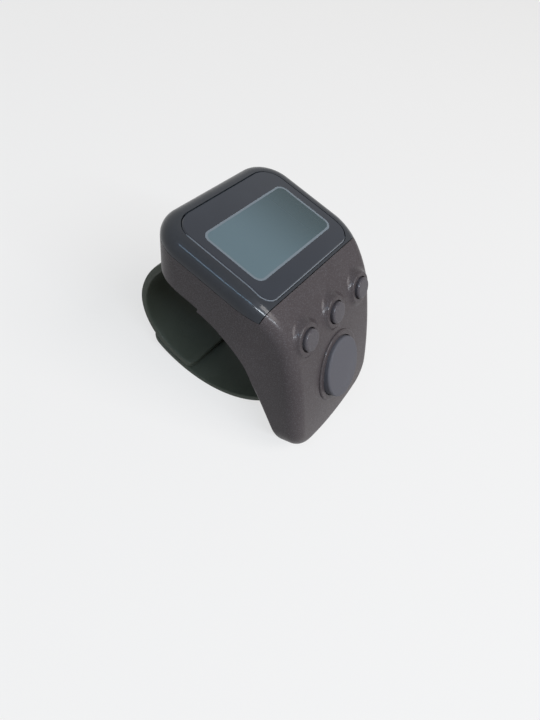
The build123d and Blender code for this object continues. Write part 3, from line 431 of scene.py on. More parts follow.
@dataclass(frozen=True)
class Finish:
    """A finish with fine grain and handled patches over a plain shader.

    Attributes:
        name: Name of the material.
        colour: Main colour, linear.
        worn: Colour that grain and patches lead to.
        rough: Least roughness.
        rough_spread: How much grain and patches add to the roughness.
        metal: Metallic share.
        coat: Clear coat weight.
        coat_rough: Roughness of the clear coat.
        specular: Specular level.
        grain_scale: Grain per metre.
        grain_tint: How far the grain moves the colour.
        bump: Depth of the grain, in millimetres.
        patch_scale: Patches per metre.
        patch: Strength of the patches.
    """

    name: str
    colour: Colour
    worn: Colour
    rough: float
    rough_spread: float = 0.12
    metal: float = 0.0
    coat: float = 0.0
    coat_rough: float = 0.08
    specular: float = 0.5
    grain_scale: float = 5000.0
    grain_tint: float = 0.2
    bump: float = 0.004
    patch_scale: float = 150.0
    patch: float = 0.5

    def material(self, effects: Effects) -> bpy.types.Material:
        """Builds the material.

        Args:
            effects: The shared node groups.

        Returns:
            The finished material.
        """
        material = bpy.data.materials.new(self.name)
        material.use_nodes = True
        material.node_tree.nodes.clear()
        t = NodeTree(material.node_tree)
        shader = t.add("ShaderNodeBsdfPrincipled")
        t.add("ShaderNodeOutputMaterial", {"Surface": shader.outputs[0]})
        plain = {
            Channel.METAL: self.metal,
            Channel.COAT: self.coat,
            Channel.COAT_ROUGH: self.coat_rough,
            Channel.SPECULAR: self.specular,
        }
        for channel, value in plain.items():
            t.feed(shader.inputs[channel.value], value)
        self.dress(t, shader, effects)
        return material

    def dress(self, t: NodeTree, shader: bpy.types.Node, effects: Effects) -> None:
        """Links colour, roughness and bump.

        Args:
            t: Helper for the material's nodes.
            shader: The principled shader.
            effects: The shared node groups.
        """
        grain = t.group(effects.grain, scale=self.grain_scale)
        patch = t.group(effects.patches, scale=self.patch_scale, amount=self.patch)
        t.feed(shader.inputs[Channel.BASE.value], self.shade(t, effects, grain, patch))
        self.surface(t, shader, grain, self.wear(t, effects, patch))

    def shade(self, t: NodeTree, effects: Effects, grain: Socket, patch: Socket) -> Source:
        """Colour of the surface: grain and patches lead from the main colour to the worn one."""
        share = t.sum("MULTIPLY_ADD", grain, self.grain_tint, patch, clamp=True)
        return t.mix(share, self.colour, self.worn)

    def wear(self, t: NodeTree, effects: Effects, patch: Socket) -> Socket:
        """Value that adds to the roughness beside the grain: the patches."""
        return patch

    def surface(self, t: NodeTree, shader: bpy.types.Node, grain: Socket, wear: Socket) -> None:
        """Links roughness and bump.

        Args:
            t: Helper for the material's nodes.
            shader: The principled shader.
            grain: Socket of the grain.
            wear: Socket of the wear.
        """
        both = t.sum("ADD", grain, wear)
        rough = t.sum("MULTIPLY_ADD", both, self.rough_spread, self.rough, clamp=True)
        t.feed(shader.inputs[Channel.ROUGH.value], rough)
        if self.bump:
            links = {"Strength": 1.0, "Distance": self.bump * MM, "Height": grain}
            bump = t.add("ShaderNodeBump", links).outputs[0]
            t.feed(shader.inputs[Channel.NORMAL.value], bump)


@dataclass(frozen=True)
class FlakePaint(Finish):
    """Satin metallic paint with fine bright flakes.

    Attributes:
        flake: Colour of a flake.
        flake_scale: Flakes per metre.
        flake_share: Share of cells that show a flake.
        flake_strength: How far a flake changes the colour.
    """

    flake: Colour = (0.3, 0.29, 0.31)
    flake_scale: float = 12000.0
    flake_share: float = 0.2
    flake_strength: float = 0.13

    def shade(self, t: NodeTree, effects: Effects, grain: Socket, patch: Socket) -> Source:
        """Colour of the paint: ground, patches and flakes over both.

        Args:
            t: Helper for the material's nodes.
            effects: The shared node groups.
            grain: Socket of the grain.
            patch: Socket of the patches.

        Returns:
            Socket of the colour.
        """
        ground = super().shade(t, effects, grain, patch)
        flakes = t.group(effects.flakes, scale=self.flake_scale, share=self.flake_share)
        return t.mix(t.sum("MULTIPLY", flakes, self.flake_strength), ground, self.flake)


@dataclass(frozen=True)
class ScuffedGloss(Finish):
    """Glossy plastic with hairline scratches.

    Attributes:
        scuff: Strength of the scratches.
        scuff_scale: Scratches per metre.
    """

    scuff: float = 0.5
    scuff_scale: float = 90.0

    def wear(self, t: NodeTree, effects: Effects, patch: Socket) -> Socket:
        """Scratches and patches together."""
        scuffs = t.group(effects.scuffs, scale=self.scuff_scale, amount=self.scuff)
        return t.sum("ADD", patch, scuffs)


@dataclass(frozen=True)
class LensGloss(ScuffedGloss):
    """Dark lens with a tinted window, a silver line round it and a painted highlight on the bevel at
    its own edge; the window has painted shade at its far side.

    Attributes:
        wide: Half of the window's width, in millimetres.
        long: Half of the window's length, in millimetres.
        corner: Corner radius of the window, in millimetres.
        line: Width of the silver line, in millimetres.
        silver: Colour of the line.
        tint: Colour of the window.
        far_shade: Colour of the painted shade at the window's far side.
        window_alpha: Alpha inside the window.
        edge_wide: Half of the lens's width, in millimetres.
        edge_long: Half of the lens's length, in millimetres.
        edge_corner: Corner radius of the lens, in millimetres.
        edge_shift: How far the lens's middle lies behind the window's, in millimetres.
        bevel: Width of the painted highlight on the bevel, in millimetres.
        bevel_highlight: Colour of the painted highlight on the bevel.
    """

    wide: float = 9.25
    long: float = 5.1
    corner: float = 1.2
    line: float = 0.34
    silver: Colour = (0.16, 0.19, 0.215)
    tint: Colour = (0.116, 0.178, 0.204)
    far_shade: Colour = (0.03, 0.06, 0.068)
    window_alpha: float = 0.85
    edge_wide: float = 10.95
    edge_long: float = 8.725
    edge_corner: float = 2.2
    edge_shift: float = 0.575
    bevel: float = 0.1
    bevel_highlight: Colour = (0.16, 0.175, 0.2)

    def dress(self, t: NodeTree, shader: bpy.types.Node, effects: Effects) -> None:
        """Links colour, roughness and bump, and opens the window with alpha.

        Args:
            t: Helper for the material's nodes.
            shader: The principled shader.
            effects: The shared node groups.
        """
        super().dress(t, shader, effects)
        outside = t.sum("GREATER_THAN", self.away(t, effects), -self.line / 2)
        solid = 1.0 - self.window_alpha
        alpha = t.sum("MULTIPLY_ADD", outside, solid, self.window_alpha)
        t.feed(shader.inputs[Channel.ALPHA.value], alpha)

    def away(self, t: NodeTree, effects: Effects) -> Socket:
        """Distance from the window's edge."""
        return t.group(effects.window, wide=self.wide, long=self.long, corner=self.corner)

    def rim(self, t: NodeTree, effects: Effects) -> Socket:
        """Distance from the lens's own edge."""
        sizes = {"wide": self.edge_wide, "long": self.edge_long, "corner": self.edge_corner}
        return t.group(effects.window, shift=self.edge_shift, **sizes)

    def shade(self, t: NodeTree, effects: Effects, grain: Socket, patch: Socket) -> Source:
        """Colour of the print behind the lens: window with painted shade at its far side, line, and
        painted highlight on the bevel.

        Args:
            t: Helper for the material's nodes.
            effects: The shared node groups.
            grain: Socket of the grain.
            patch: Socket of the patches.

        Returns:
            Socket of the colour.
        """
        away = self.away(t, effects)
        # Painted shade: the window darkens towards its far side.
        window = t.mix(effects.painted_far_shade(t, self.wide), self.tint, self.far_shade)
        border = super().shade(t, effects, grain, patch)
        ground = t.mix(t.sum("LESS_THAN", away, 0.0), border, window)
        # Painted highlight: a pale band along the lens's own edge, where its bevel catches the light.
        on_bevel_highlight = t.sum("GREATER_THAN", self.rim(t, effects), -self.bevel)
        ground = t.mix(on_bevel_highlight, ground, self.bevel_highlight)
        on_line = t.sum("LESS_THAN", t.sum("ABSOLUTE", away), self.line / 2)
        return t.mix(on_line, ground, self.silver)


@dataclass(frozen=True)
class DisplayGlass(Finish):
    """Grey-blue display glass, with a painted shadow towards the edges of its window and painted
    shade at its far side.

    Attributes:
        wide: Half of the window's width, in millimetres.
        long: Half of the window's length, in millimetres.
        corner: Corner radius of the window, in millimetres.
        shadow: Width of the painted shadow at the edges of the window, in millimetres.
        far_shade: Colour of the painted shade at the glass's far side.
    """

    wide: float = 9.2
    long: float = 5.0
    corner: float = 1.2
    shadow: float = 2.6
    far_shade: Colour = (0.03, 0.045, 0.055)

    def shade(self, t: NodeTree, effects: Effects, grain: Socket, patch: Socket) -> Source:
        """Colour of the glass, with its painted shadow at the window's edges and painted shade at its
        far side.

        Args:
            t: Helper for the material's nodes.
            effects: The shared node groups.
            grain: Socket of the grain.
            patch: Socket of the patches.

        Returns:
            Socket of the colour.
        """
        ground = super().shade(t, effects, grain, patch)
        # Painted shade: the glass darkens towards its far side.
        ground = t.mix(effects.painted_far_shade(t, self.wide), ground, self.far_shade)
        away = t.group(effects.window, wide=self.wide, long=self.long, corner=self.corner)
        # Painted shadow at the window's edges, which takes the worn colour.
        return t.mix(t.ramp(away, -self.shadow, self.shadow / 2), ground, self.worn)


@dataclass(frozen=True)
class StripedFinish(Finish):
    """Finish with even stripes across the finger, such as a ribbon's wires.

    Attributes:
        stripe: Colour of a stripe.
        pitch: Distance between stripes, in millimetres.
    """

    stripe: Colour = (0.6, 0.35, 0.15)
    pitch: float = 0.5

    def shade(self, t: NodeTree, effects: Effects, grain: Socket, patch: Socket) -> Source:
        """Colour of the ground with its stripes."""
        ground = super().shade(t, effects, grain, patch)
        return t.mix(t.group(effects.stripes, pitch=self.pitch), ground, self.stripe)


@dataclass(frozen=True)
class FloorFinish(Finish):
    """Even floor that looks brighter to rays that show it, but lights the counter no more for it.

    Attributes:
        glow: What the floor adds for rays that show it.
    """

    glow: float = 0.685

    def shade(self, t: NodeTree, effects: Effects, grain: Socket, patch: Socket) -> Source:
        """Colour of the floor, the same all over."""
        return self.colour

    def dress(self, t: NodeTree, shader: bpy.types.Node, effects: Effects) -> None:
        """Links the roughness, and the glow for rays that show the floor.

        Args:
            t: Helper for the material's nodes.
            shader: The principled shader.
            effects: The shared node groups.
        """
        super().dress(t, shader, effects)
        t.feed(shader.inputs[Channel.GLOW_COLOUR.value], WHITE)
        t.feed(shader.inputs[Channel.GLOW.value], t.sum("MULTIPLY", t.seen(), self.glow))


class Palette:
    """All finishes, and the one that each node takes."""

    paint = FlakePaint(
        "satin_metallic_paint", colour=(0.061, 0.05, 0.052), worn=(0.086, 0.073, 0.075),
        rough=0.4, metal=0.1, coat=0.3, coat_rough=0.2, specular=0.03,
        grain_scale=2600.0, grain_tint=0.12, bump=0.001,
    )
    key_paint = FlakePaint(
        "key_paint", colour=(0.063, 0.055, 0.062), worn=(0.092, 0.083, 0.09),
        rough=0.38, metal=0.1, coat=0.3, coat_rough=0.16, specular=0.1,
        grain_scale=3200.0, bump=0.002,
    )
    bezel = ScuffedGloss(
        "gloss_bezel_plastic", colour=(0.02, 0.023, 0.029), worn=(0.048, 0.052, 0.06),
        rough=0.26, rough_spread=0.16, metal=0.1, coat=0.5, coat_rough=0.11, specular=0.1,
        grain_scale=1800.0, grain_tint=0.08, bump=0.001, patch=0.35,
    )
    lens = LensGloss(
        "printed_lens", colour=(0.009, 0.0135, 0.024), worn=(0.03, 0.04, 0.056),
        rough=0.07, rough_spread=0.1, coat=0.2, coat_rough=0.03, specular=0.45,
        grain_tint=0.0, bump=0.0, patch=0.25, scuff=0.12,
    )
    # The glass's worn colour is also its painted shadow at the window's edges.
    glass = DisplayGlass(
        "display_glass", colour=(0.135, 0.195, 0.225), worn=(0.075, 0.105, 0.122),
        rough=0.16, rough_spread=0.1, grain_scale=1500.0, grain_tint=0.05, bump=0.0, patch=0.15,
    )
    slate = Finish(
        "slate_key_rubber", colour=(0.086, 0.083, 0.095), worn=(0.13, 0.127, 0.14),
        rough=0.62, rough_spread=0.14, specular=0.35,
        grain_scale=6000.0, grain_tint=0.22, bump=0.008,
    )
    rubber = Finish(
        "black_strap_rubber", colour=(0.039, 0.047, 0.034), worn=(0.075, 0.083, 0.066),
        rough=0.5, rough_spread=0.2, specular=0.4,
        grain_scale=3500.0, grain_tint=0.14, bump=0.01, patch_scale=110.0, patch=0.45,
    )
    black = Finish(
        "black_moulded_plastic", colour=(0.014, 0.014, 0.0145), worn=(0.035, 0.035, 0.035),
        rough=0.48, rough_spread=0.2, grain_scale=4200.0, bump=0.012,
    )
    steel = ScuffedGloss(
        "plated_steel", colour=(0.52, 0.52, 0.5), worn=(0.34, 0.33, 0.31),
        rough=0.24, rough_spread=0.22, metal=1.0, grain_scale=2400.0, bump=0.002, scuff=0.8,
    )
    board = StripedFinish(
        "circuit_board", colour=(0.018, 0.1, 0.045), worn=(0.03, 0.13, 0.06),
        rough=0.34, coat=0.3, stripe=(0.026, 0.14, 0.06), pitch=1.4,
    )
    ribbon = StripedFinish(
        "ribbon_cable_film", colour=(0.7, 0.66, 0.56), worn=(0.55, 0.5, 0.42),
        rough=0.4, stripe=(0.5, 0.33, 0.2), pitch=0.6,
    )
    zebra = StripedFinish(
        "zebra_rubber", colour=(0.5, 0.32, 0.34), worn=(0.4, 0.26, 0.28),
        rough=0.6, stripe=(0.05, 0.05, 0.05), pitch=0.2,
    )
    pale = Finish(
        "pale_film", colour=(0.4, 0.47, 0.46), worn=(0.3, 0.36, 0.35), rough=0.45,
    )
    resin = Finish(
        "black_resin", colour=(0.01, 0.01, 0.01), worn=(0.03, 0.03, 0.03),
        rough=0.18, coat=0.4, grain_scale=900.0, bump=0.01,
    )
    light = Finish(
        "led_body", colour=(0.8, 0.78, 0.66), worn=(0.6, 0.57, 0.45), rough=0.3,
    )

    nodes: dict[str, Finish] = {
        "top_case": paint, "display_bezel": bezel, "display_lens": lens, "lcd_glass": glass,
        "lcd_reflector": pale, "zebra_strips": zebra, "main_board": board, "key_board": board,
        "controller_chip": resin, "quartz_crystal": steel, "backlight_led": light,
        "coin_cell": steel, "negative_contact": steel, "positive_contact": steel,
        "ribbon_cable": ribbon, "switch_bodies": black,
        "count_plunger": pale, "reset_plunger": pale,
        "lock_plunger": pale, "light_plunger": pale,
        "count_button": slate, "reset_button": key_paint,
        "lock_button": key_paint, "light_button": key_paint,
        "bottom_case": black, "battery_door": black,
        "battery_door_screw": steel, "case_screws": steel,
        "front_strap": rubber, "front_strap_pin": steel,
        "rear_strap": rubber, "rear_strap_pin": steel,
    }

    def __init__(self, effects: Effects) -> None:
        """Keeps the shared groups, and a place for the materials."""
        self.effects = effects
        self.made: dict[str, bpy.types.Material] = {}

    def material(self, node: str) -> bpy.types.Material:
        """Material of a node, built when it is first asked for.

        Args:
            node: Name of the node.

        Returns:
            The material.
        """
        finish = self.nodes[node]
        if finish.name not in self.made:
            self.made[finish.name] = finish.material(self.effects)
        return self.made[finish.name]

    def dress(self, node: str, target: bpy.types.Object) -> None:
        """Gives an object the finish of a node.

        Args:
            node: Name of the node.
            target: The object that takes the finish.
        """
        target.data.materials.clear()
        target.data.materials.append(self.material(node))
        LOG.info("%s takes %s", target.name, self.nodes[node].name)


def polar(angle: float | np.ndarray) -> np.ndarray:
    """Unit vectors, y and z, in the side view at angles in degrees from +Y towards +Z."""
    turn = np.radians(angle)
    return np.stack([np.cos(turn), np.sin(turn)], axis=-1)


@dataclass(frozen=True)
class Arc:
    """Round stretch of a strap's middle line in the side view.

    Attributes:
        middle: Centre, y and z in millimetres.
        radius: Radius, in millimetres.
        start: Angle at which it starts, in degrees.
        end: Angle at which it ends, in degrees.
    """

    middle: np.ndarray
    radius: float
    start: float
    end: float

    @property
    def length(self) -> float:
        """Length along the arc."""
        return math.radians(abs(self.end - self.start)) * self.radius

    def angle(self, run: float | np.ndarray) -> float | np.ndarray:
        """Angle in degrees at a run in millimetres, which may lie before or after the arc."""
        return self.start + np.sign(self.end - self.start) * np.degrees(run / self.radius)


@dataclass(frozen=True)
class StrapLoop:
    """Circles that both strap halves follow, in the case's side view, in millimetres and degrees.

    Attributes:
        hinge: Middle of the front strap's pin, y and z.
        root: Middle of the rear strap's pin, y and z.
        base_radius: Outer radius under the finger.
        back_radius: Outer radius behind the finger.
        corner_radius: Outer radius of the rear strap between them.
        front_thick: Thickness of the front strap.
        rear_thick: Thickness of the rear strap.
        gap: Gap where one lies on the other.
        hinge_angle: Angle of the hinge on the base circle.
        root_angle: Angle of the rear pin on the back circle.
        end_angle: Angle of the front strap's end on the corner circle.
        lap: Angle over which the rear strap laps on along the base circle.
    """

    hinge: np.ndarray
    root: np.ndarray
    base_radius: float = 19.7
    back_radius: float = 16.0
    corner_radius: float = 9.6
    front_thick: float = 1.0
    rear_thick: float = 1.4
    gap: float = 0.12
    hinge_angle: float = -159.0
    root_angle: float = 56.0
    end_angle: float = -54.0
    lap: float = 18.0

    @cached_property
    def base(self) -> np.ndarray:
        """Centre of the base circle, from the hinge."""
        return self.hinge - polar(self.hinge_angle) * (self.base_radius - self.front_thick / 2)

    @cached_property
    def back(self) -> np.ndarray:
        """Centre of the back circle, from the rear pin."""
        return self.root - polar(self.root_angle) * (self.back_radius - self.rear_thick / 2)

    @property
    def lap_radius(self) -> float:
        """Outer radius of the rear strap where it lies on the front strap."""
        return self.base_radius - self.front_thick - self.gap

    @cached_property
    def corner(self) -> np.ndarray:
        """Centre of the circle that touches the back and lap circles from inside.

        Returns:
            Array of y and z.
        """
        line = self.base - self.back
        span = float(np.linalg.norm(line))
        back_arm = self.back_radius - self.corner_radius
        base_arm = self.lap_radius - self.corner_radius
        along = (back_arm**2 - base_arm**2 + span**2) / (2 * span)
        way = line / span
        square = np.array([way[1], -way[0]])
        return self.back + way * along + square * math.sqrt(back_arm**2 - along**2)

    def bearing(self, start: np.ndarray) -> float:
        """Angle of the corner circle's centre seen from another centre, in degrees."""
        way = self.corner - start
        return math.degrees(math.atan2(way[1], way[0]))

    def front_arcs(self) -> list[Arc]:
        """Middle line of the front strap.

        Returns:
            Its arcs from the hinge to the end.
        """
        turn = self.bearing(self.base)
        half = self.front_thick / 2
        return [
            Arc(self.base, self.base_radius - half, self.hinge_angle, turn),
            Arc(self.corner, self.corner_radius + self.gap + half, turn, self.end_angle),
        ]

    def rear_arcs(self) -> list[Arc]:
        """Middle line of the rear strap.

        Returns:
            Its arcs from the pin to the end of the lap.
        """
        turn = self.bearing(self.base)
        back = self.bearing(self.back)
        half = self.rear_thick / 2
        return [
            Arc(self.back, self.back_radius - half, self.root_angle, back),
            Arc(self.corner, self.corner_radius - half, back, turn),
            Arc(self.base, self.lap_radius - half, turn, turn - self.lap),
        ]


@dataclass
class StrapHalf:
    """One half of the strap: a band with soft edges, a barrel on its pin and a round-cornered end.

    Attributes:
        node: CAD node that it stands for.
        body: Body that it rides on.
        arcs: Middle line from pin to end.
        thick: Thickness, in millimetres.
        width: Width, in millimetres.
        root_width: Width at the pin, in millimetres.
        root_run: Run over which the root width lasts, in millimetres.
        barrel: Diameter of the barrel on the pin.
        end_corner: Corner radius of the free end.
        edge_power: Power of the section's superellipse; higher is squarer.
        blend_power: Power p that joins band and barrel.
        least_share: Least share of the thickness that the band has behind the pin.
        end_share: Share of the thickness that is left at the very end.
        start_share: How far behind the pin the band starts, in barrel radii.
        rows: Sections along the band.
        columns: Points round a section.
    """

    node: str
    body: Body
    arcs: list[Arc]
    thick: float
    width: float = 18.6
    root_width: float = 18.6
    root_run: float = 0.0
    barrel: float = 2.2
    end_corner: float = 2.6
    edge_power: float = 9.0
    blend_power: int = 6
    least_share: float = 0.05
    end_share: float = 0.55
    start_share: float = 0.98
    rows: int = 180
    columns: int = 64

    @property
    def length(self) -> float:
        """Length of the middle line."""
        return sum(arc.length for arc in self.arcs)

    def line(self, run: np.ndarray) -> tuple[np.ndarray, np.ndarray]:
        """Points and outward unit vectors on the middle line.

        Args:
            run: Runs from the pin, in millimetres.

        Returns:
            Arrays of y and z, and of the outward y and z.
        """
        starts = np.cumsum([0.0] + [arc.length for arc in self.arcs[:-1]])
        which = np.searchsorted(starts, run, side="right") - 1
        which = np.clip(which, 0, len(self.arcs) - 1)[:, None]
        ways = [polar(arc.angle(run - start)) for arc, start in zip(self.arcs, starts)]
        spots = [arc.middle + way * arc.radius for arc, way in zip(self.arcs, ways)]
        return np.choose(which, spots), np.choose(which, ways)

    def thickness(self, run: np.ndarray) -> np.ndarray:
        """Thickness along the band: (band^p + barrel^p)^(1/p), thinned by a quarter round at the end.

        Args:
            run: Runs from the pin, in millimetres.

        Returns:
            Thickness at each run.
        """
        radius = self.barrel / 2
        barrel = 2 * np.sqrt(np.maximum(radius**2 - run**2, 0.0))
        flat = self.thick * np.clip((run + radius) / self.thick, self.least_share, 1.0)
        both = (barrel**self.blend_power + flat**self.blend_power)**(1 / self.blend_power)
        left = np.clip((self.length - run) / self.thick, 0.0, 1.0)
        return both * (self.end_share + (1 - self.end_share) * np.sqrt(left * (2 - left)))

    def widths(self, run: np.ndarray) -> np.ndarray:
        """Width along the band: a smooth step from the root's width, less the end's round corners.

        Args:
            run: Runs from the pin, in millimetres.

        Returns:
            Width at each run.
        """
        into = np.clip((run - self.length) / self.end_corner + 1.0, 0.0, 1.0)
        corners = 2 * self.end_corner * (1.0 - np.sqrt(1.0 - into**2))
        blend = np.clip(run - self.root_run, 0.0, 1.0)
        step = blend * blend * (3 - 2 * blend)
        return self.root_width + (self.width - self.root_width) * step - corners

    def grid(self) -> np.ndarray:
        """Surface of the band over two parameters, run and turn round the section.

        A section is a superellipse: across the finger half the width times |cos|^(2/p), and
        outwards half the thickness times |sin|^(2/p).

        Returns:
            Array of rows, columns and x, y, z in case millimetres.
        """
        run = np.linspace(-self.start_share * self.barrel / 2, self.length, self.rows)
        turn = np.linspace(0.0, 2 * np.pi, self.columns, endpoint=False) + np.pi / self.columns
        power = 2 / self.edge_power
        across = np.sign(np.cos(turn)) * np.abs(np.cos(turn))**power
        outward = np.sign(np.sin(turn)) * np.abs(np.sin(turn))**power
        points, out = self.line(run)
        x = self.widths(run)[:, None] / 2 * across
        rise = self.thickness(run)[:, None] / 2 * outward
        side = points[:, None, :] + out[:, None, :] * rise[..., None]
        return np.concatenate([x[..., None], side], axis=-1)

    def build(self, case: CaseFrame) -> bpy.types.Object:
        """Builds the band as a closed mesh in the standing counter."""
        return closed_tube(self.node + "_soft", case.place(self.grid()))

    def ride(self, piece: bpy.types.Object) -> None:
        """Lets a piece stand for the node and ride on its body.

        Args:
            piece: The finished piece.
        """
        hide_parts(self.node)
        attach(piece, self.body.value)
        LOG.info("%s stands for %s", piece.name, self.node)


def new_object(name: str, points: np.ndarray, faces: list[list[int]]) -> bpy.types.Object:
    """Makes a smooth mesh object at the origin.

    Args:
        name: Name of the object.
        points: Array of corners, in metres.
        faces: Lists of corner numbers.

    Returns:
        The new object.
    """
    mesh = bpy.data.meshes.new(name)
    mesh.from_pydata(points.reshape(-1, 3).tolist(), [], faces)
    mesh.update()
    mesh.shade_smooth()
    piece = bpy.data.objects.new(name, mesh)
    bpy.context.scene.collection.objects.link(piece)
    return piece


def closed_tube(name: str, grid: np.ndarray) -> bpy.types.Object:
    """Skins a grid whose columns close on themselves, with a cap at both ends.

    Args:
        name: Name of the object.
        grid: Array of rows, columns and coordinates, in metres.

    Returns:
        The new object.
    """
    rows, columns = grid.shape[:2]
    first = np.arange(rows * columns).reshape(rows, columns)
    after = np.roll(first, -1, axis=1)
    quads = np.stack([first[:-1], after[:-1], after[1:], first[1:]], axis=-1).reshape(-1, 4)
    faces = quads.tolist() + [first[0, ::-1].tolist(), first[-1].tolist()]
    return new_object(name, grid, faces)


def cut(target: bpy.types.Object, cutter: bpy.types.Object) -> None:
    """Takes a cutter out of a piece for good, and deletes the cutter.

    Args:
        target: The piece.
        cutter: The closed mesh that is taken out.
    """
    modifier = target.modifiers.new("cut", "BOOLEAN")
    modifier.operation = "DIFFERENCE"
    modifier.object = cutter
    modifier.solver = "EXACT"
    depsgraph = bpy.context.evaluated_depsgraph_get()
    mesh = bpy.data.meshes.new_from_object(target.evaluated_get(depsgraph))
    target.modifiers.clear()
    old = target.data
    target.data = mesh
    bpy.data.meshes.remove(old)
    bpy.data.objects.remove(cutter)


@dataclass
class FrontStrap:
    """Front half of the strap with its peg slots, in millimetres.

    Attributes:
        loop: The strap's circles.
        slot_wide: Width of a slot across the finger.
        slot_long: Length of a slot along the strap.
        slot_inset: Distance of a slot's middle from the strap's edge.
        slot_reach: How far a slot's cutter goes each way from the middle line, in thicknesses.
        row_pitch: Distance between rows of slots.
        rows: How many rows there are.
        shift: How far the slots' middles lie behind the pegs.
    """

    loop: StrapLoop
    slot_wide: float = 2.3
    slot_long: float = 3.6
    slot_inset: float = 4.8
    slot_reach: float = 2.0
    row_pitch: float = 4.2
    rows: int = 2
    shift: float = 0.65

    def half(self) -> StrapHalf:
        """The band itself."""
        arcs = self.loop.front_arcs()
        return StrapHalf("front_strap", Body.STRAP, arcs, self.loop.front_thick)

    def slot_grid(self, band: StrapHalf, run: float, x: float, side: int = 24) -> np.ndarray:
        """Round-ended prism through the band: a circle stretched lengthwise, at two heights.

        Args:
            band: The band that is cut.
            run: Run of the slot's middle.
            x: Place of the slot across the finger.
            side: Corners round the slot.

        Returns:
            Array of two rows of corners in case millimetres.
        """
        turn = np.linspace(0.0, 2 * np.pi, side, endpoint=False)
        stretch = (self.slot_long - self.slot_wide) / 2
        along = np.sin(turn) * self.slot_wide / 2 + np.sign(np.sin(turn)) * stretch
        point, out = band.line(np.array([run]))
        way = np.array([-out[0, 1], out[0, 0]])
        flat = point[0] + along[:, None] * way
        reach = band.thick * self.slot_reach
        levels = np.array([-reach, reach])[:, None, None] * out[0]
        side_view = flat[None] + levels
        wide = np.broadcast_to(x + np.cos(turn) * self.slot_wide / 2, side_view.shape[:2])
        return np.concatenate([wide[..., None], side_view], axis=-1)

    def build(self, case: CaseFrame) -> bpy.types.Object:
        """Builds the band and cuts its slots.

        Args:
            case: The case's frame.

        Returns:
            The finished piece.
        """
        band = self.half()
        piece = band.build(case)
        base = band.arcs[0]
        pegs = base.length - math.radians(self.loop.lap / 2) * base.radius
        edge = band.width / 2 - self.slot_inset
        for row in range(self.rows):
            for x in (-edge, edge):
                grid = self.slot_grid(band, pegs + row * self.row_pitch - self.shift, x)
                cut(piece, closed_tube("slot_cutter", case.place(grid)))
        band.ride(piece)
        return piece


@dataclass
class RearStrap:
    """Rear half of the strap with its two pegs, in millimetres.

    Attributes:
        loop: The strap's circles.
        root_inset: How much narrower the root is on each side.
        root_run: Run over which the root stays narrow.
        end_corner: Corner radius of the free end.
        peg_radius: Radius of a peg.
        peg_height: Height of a peg over the strap.
        peg_inset: Distance of a peg's middle from the strap's edge.
        peg_edge: Share of a peg's radius by which its top edge is rounded.
        peg_steps: Points along that rounding.
    """

    loop: StrapLoop
    root_inset: float = 0.9
    root_run: float = 1.2
    end_corner: float = 1.2
    peg_radius: float = 0.9
    peg_height: float = 1.45
    peg_inset: float = 4.8
    peg_edge: float = 0.2
    peg_steps: int = 6

    def half(self) -> StrapHalf:
        """The band itself.

        Returns:
            The band, with its narrower root.
        """
        band = StrapHalf("rear_strap", Body.CASE, self.loop.rear_arcs(), self.loop.rear_thick)
        band.end_corner = self.end_corner
        band.root_width = band.width - 2 * self.root_inset
        band.root_run = self.root_run
        return band

    def peg_grid(self, band: StrapHalf, x: float, side: int = 32) -> np.ndarray:
        """Peg as a turned shape: a straight wall with a quarter round at its top edge.

        Args:
            band: The band that carries the peg.
            x: Place of the peg across the finger.
            side: Points round the peg.

        Returns:
            Array of rows, columns and x, y, z in case millimetres.
        """
        edge = self.peg_edge * self.peg_radius
        top = self.peg_height + band.thick / 2
        lift = np.radians(np.linspace(0.0, 90.0, self.peg_steps))
        radius = np.concatenate([[self.peg_radius], self.peg_radius - edge * (1 - np.cos(lift))])
        height = np.concatenate([[0.0], top - edge * (1 - np.sin(lift))])
        turn = np.linspace(0.0, 2 * np.pi, side, endpoint=False)
        run = band.length - math.radians(self.loop.lap / 2) * band.arcs[-1].radius
        point, out = band.line(np.array([run]))
        way = np.array([-out[0, 1], out[0, 0]])
        flat = radius[:, None] * np.sin(turn)
        side_view = point[0] + flat[..., None] * way + height[:, None, None] * out[0]
        wide = x + radius[:, None] * np.cos(turn)
        return np.concatenate([wide[..., None], side_view], axis=-1)

    def build(self, case: CaseFrame) -> list[bpy.types.Object]:
        """Builds the band and its pegs.

        Args:
            case: The case's frame.

        Returns:
            The finished pieces.
        """
        band = self.half()
        pieces = [band.build(case)]
        band.ride(pieces[0])
        for name, side in (("near", -1), ("far", 1)):
            grid = self.peg_grid(band, side * (band.width / 2 - self.peg_inset))
            peg = closed_tube(f"rear_strap_peg_{name}", case.place(grid))
            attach(peg, band.body.value)
            pieces.append(peg)
        return pieces


@dataclass(frozen=True)
class Lamp:
    """Soft rectangular lamp that faces the counter.

    Attributes:
        name: Name of the lamp.
        way: Direction from the counter to the lamp.
        far: Distance from the counter, in metres.
        wide: Width, in metres.
        long: Height, in metres.
        power: Power, in watts.
        colour: Colour of the light.
        roll: Turn about its own direction, in degrees.
    """

    name: str
    way: Triple
    far: float
    wide: float
    long: float
    power: float
    colour: Colour
    roll: float = 0.0

    def build(self, target: Vector) -> None:
        """Places the lamp.

        Args:
            target: Point that it faces, in metres.
        """
        data = bpy.data.lights.new(self.name, "AREA")
        data.shape = "RECTANGLE"
        data.size = self.wide
        data.size_y = self.long
        data.energy = self.power
        data.color = self.colour
        way = Vector(self.way).normalized()
        lamp = bpy.data.objects.new(self.name, data)
        lamp.location = target + way * self.far
        turn = way.to_track_quat("Z", "Y") @ Quaternion((0, 0, 1), math.radians(self.roll))
        lamp.rotation_euler = turn.to_euler()
        bpy.context.scene.collection.objects.link(lamp)


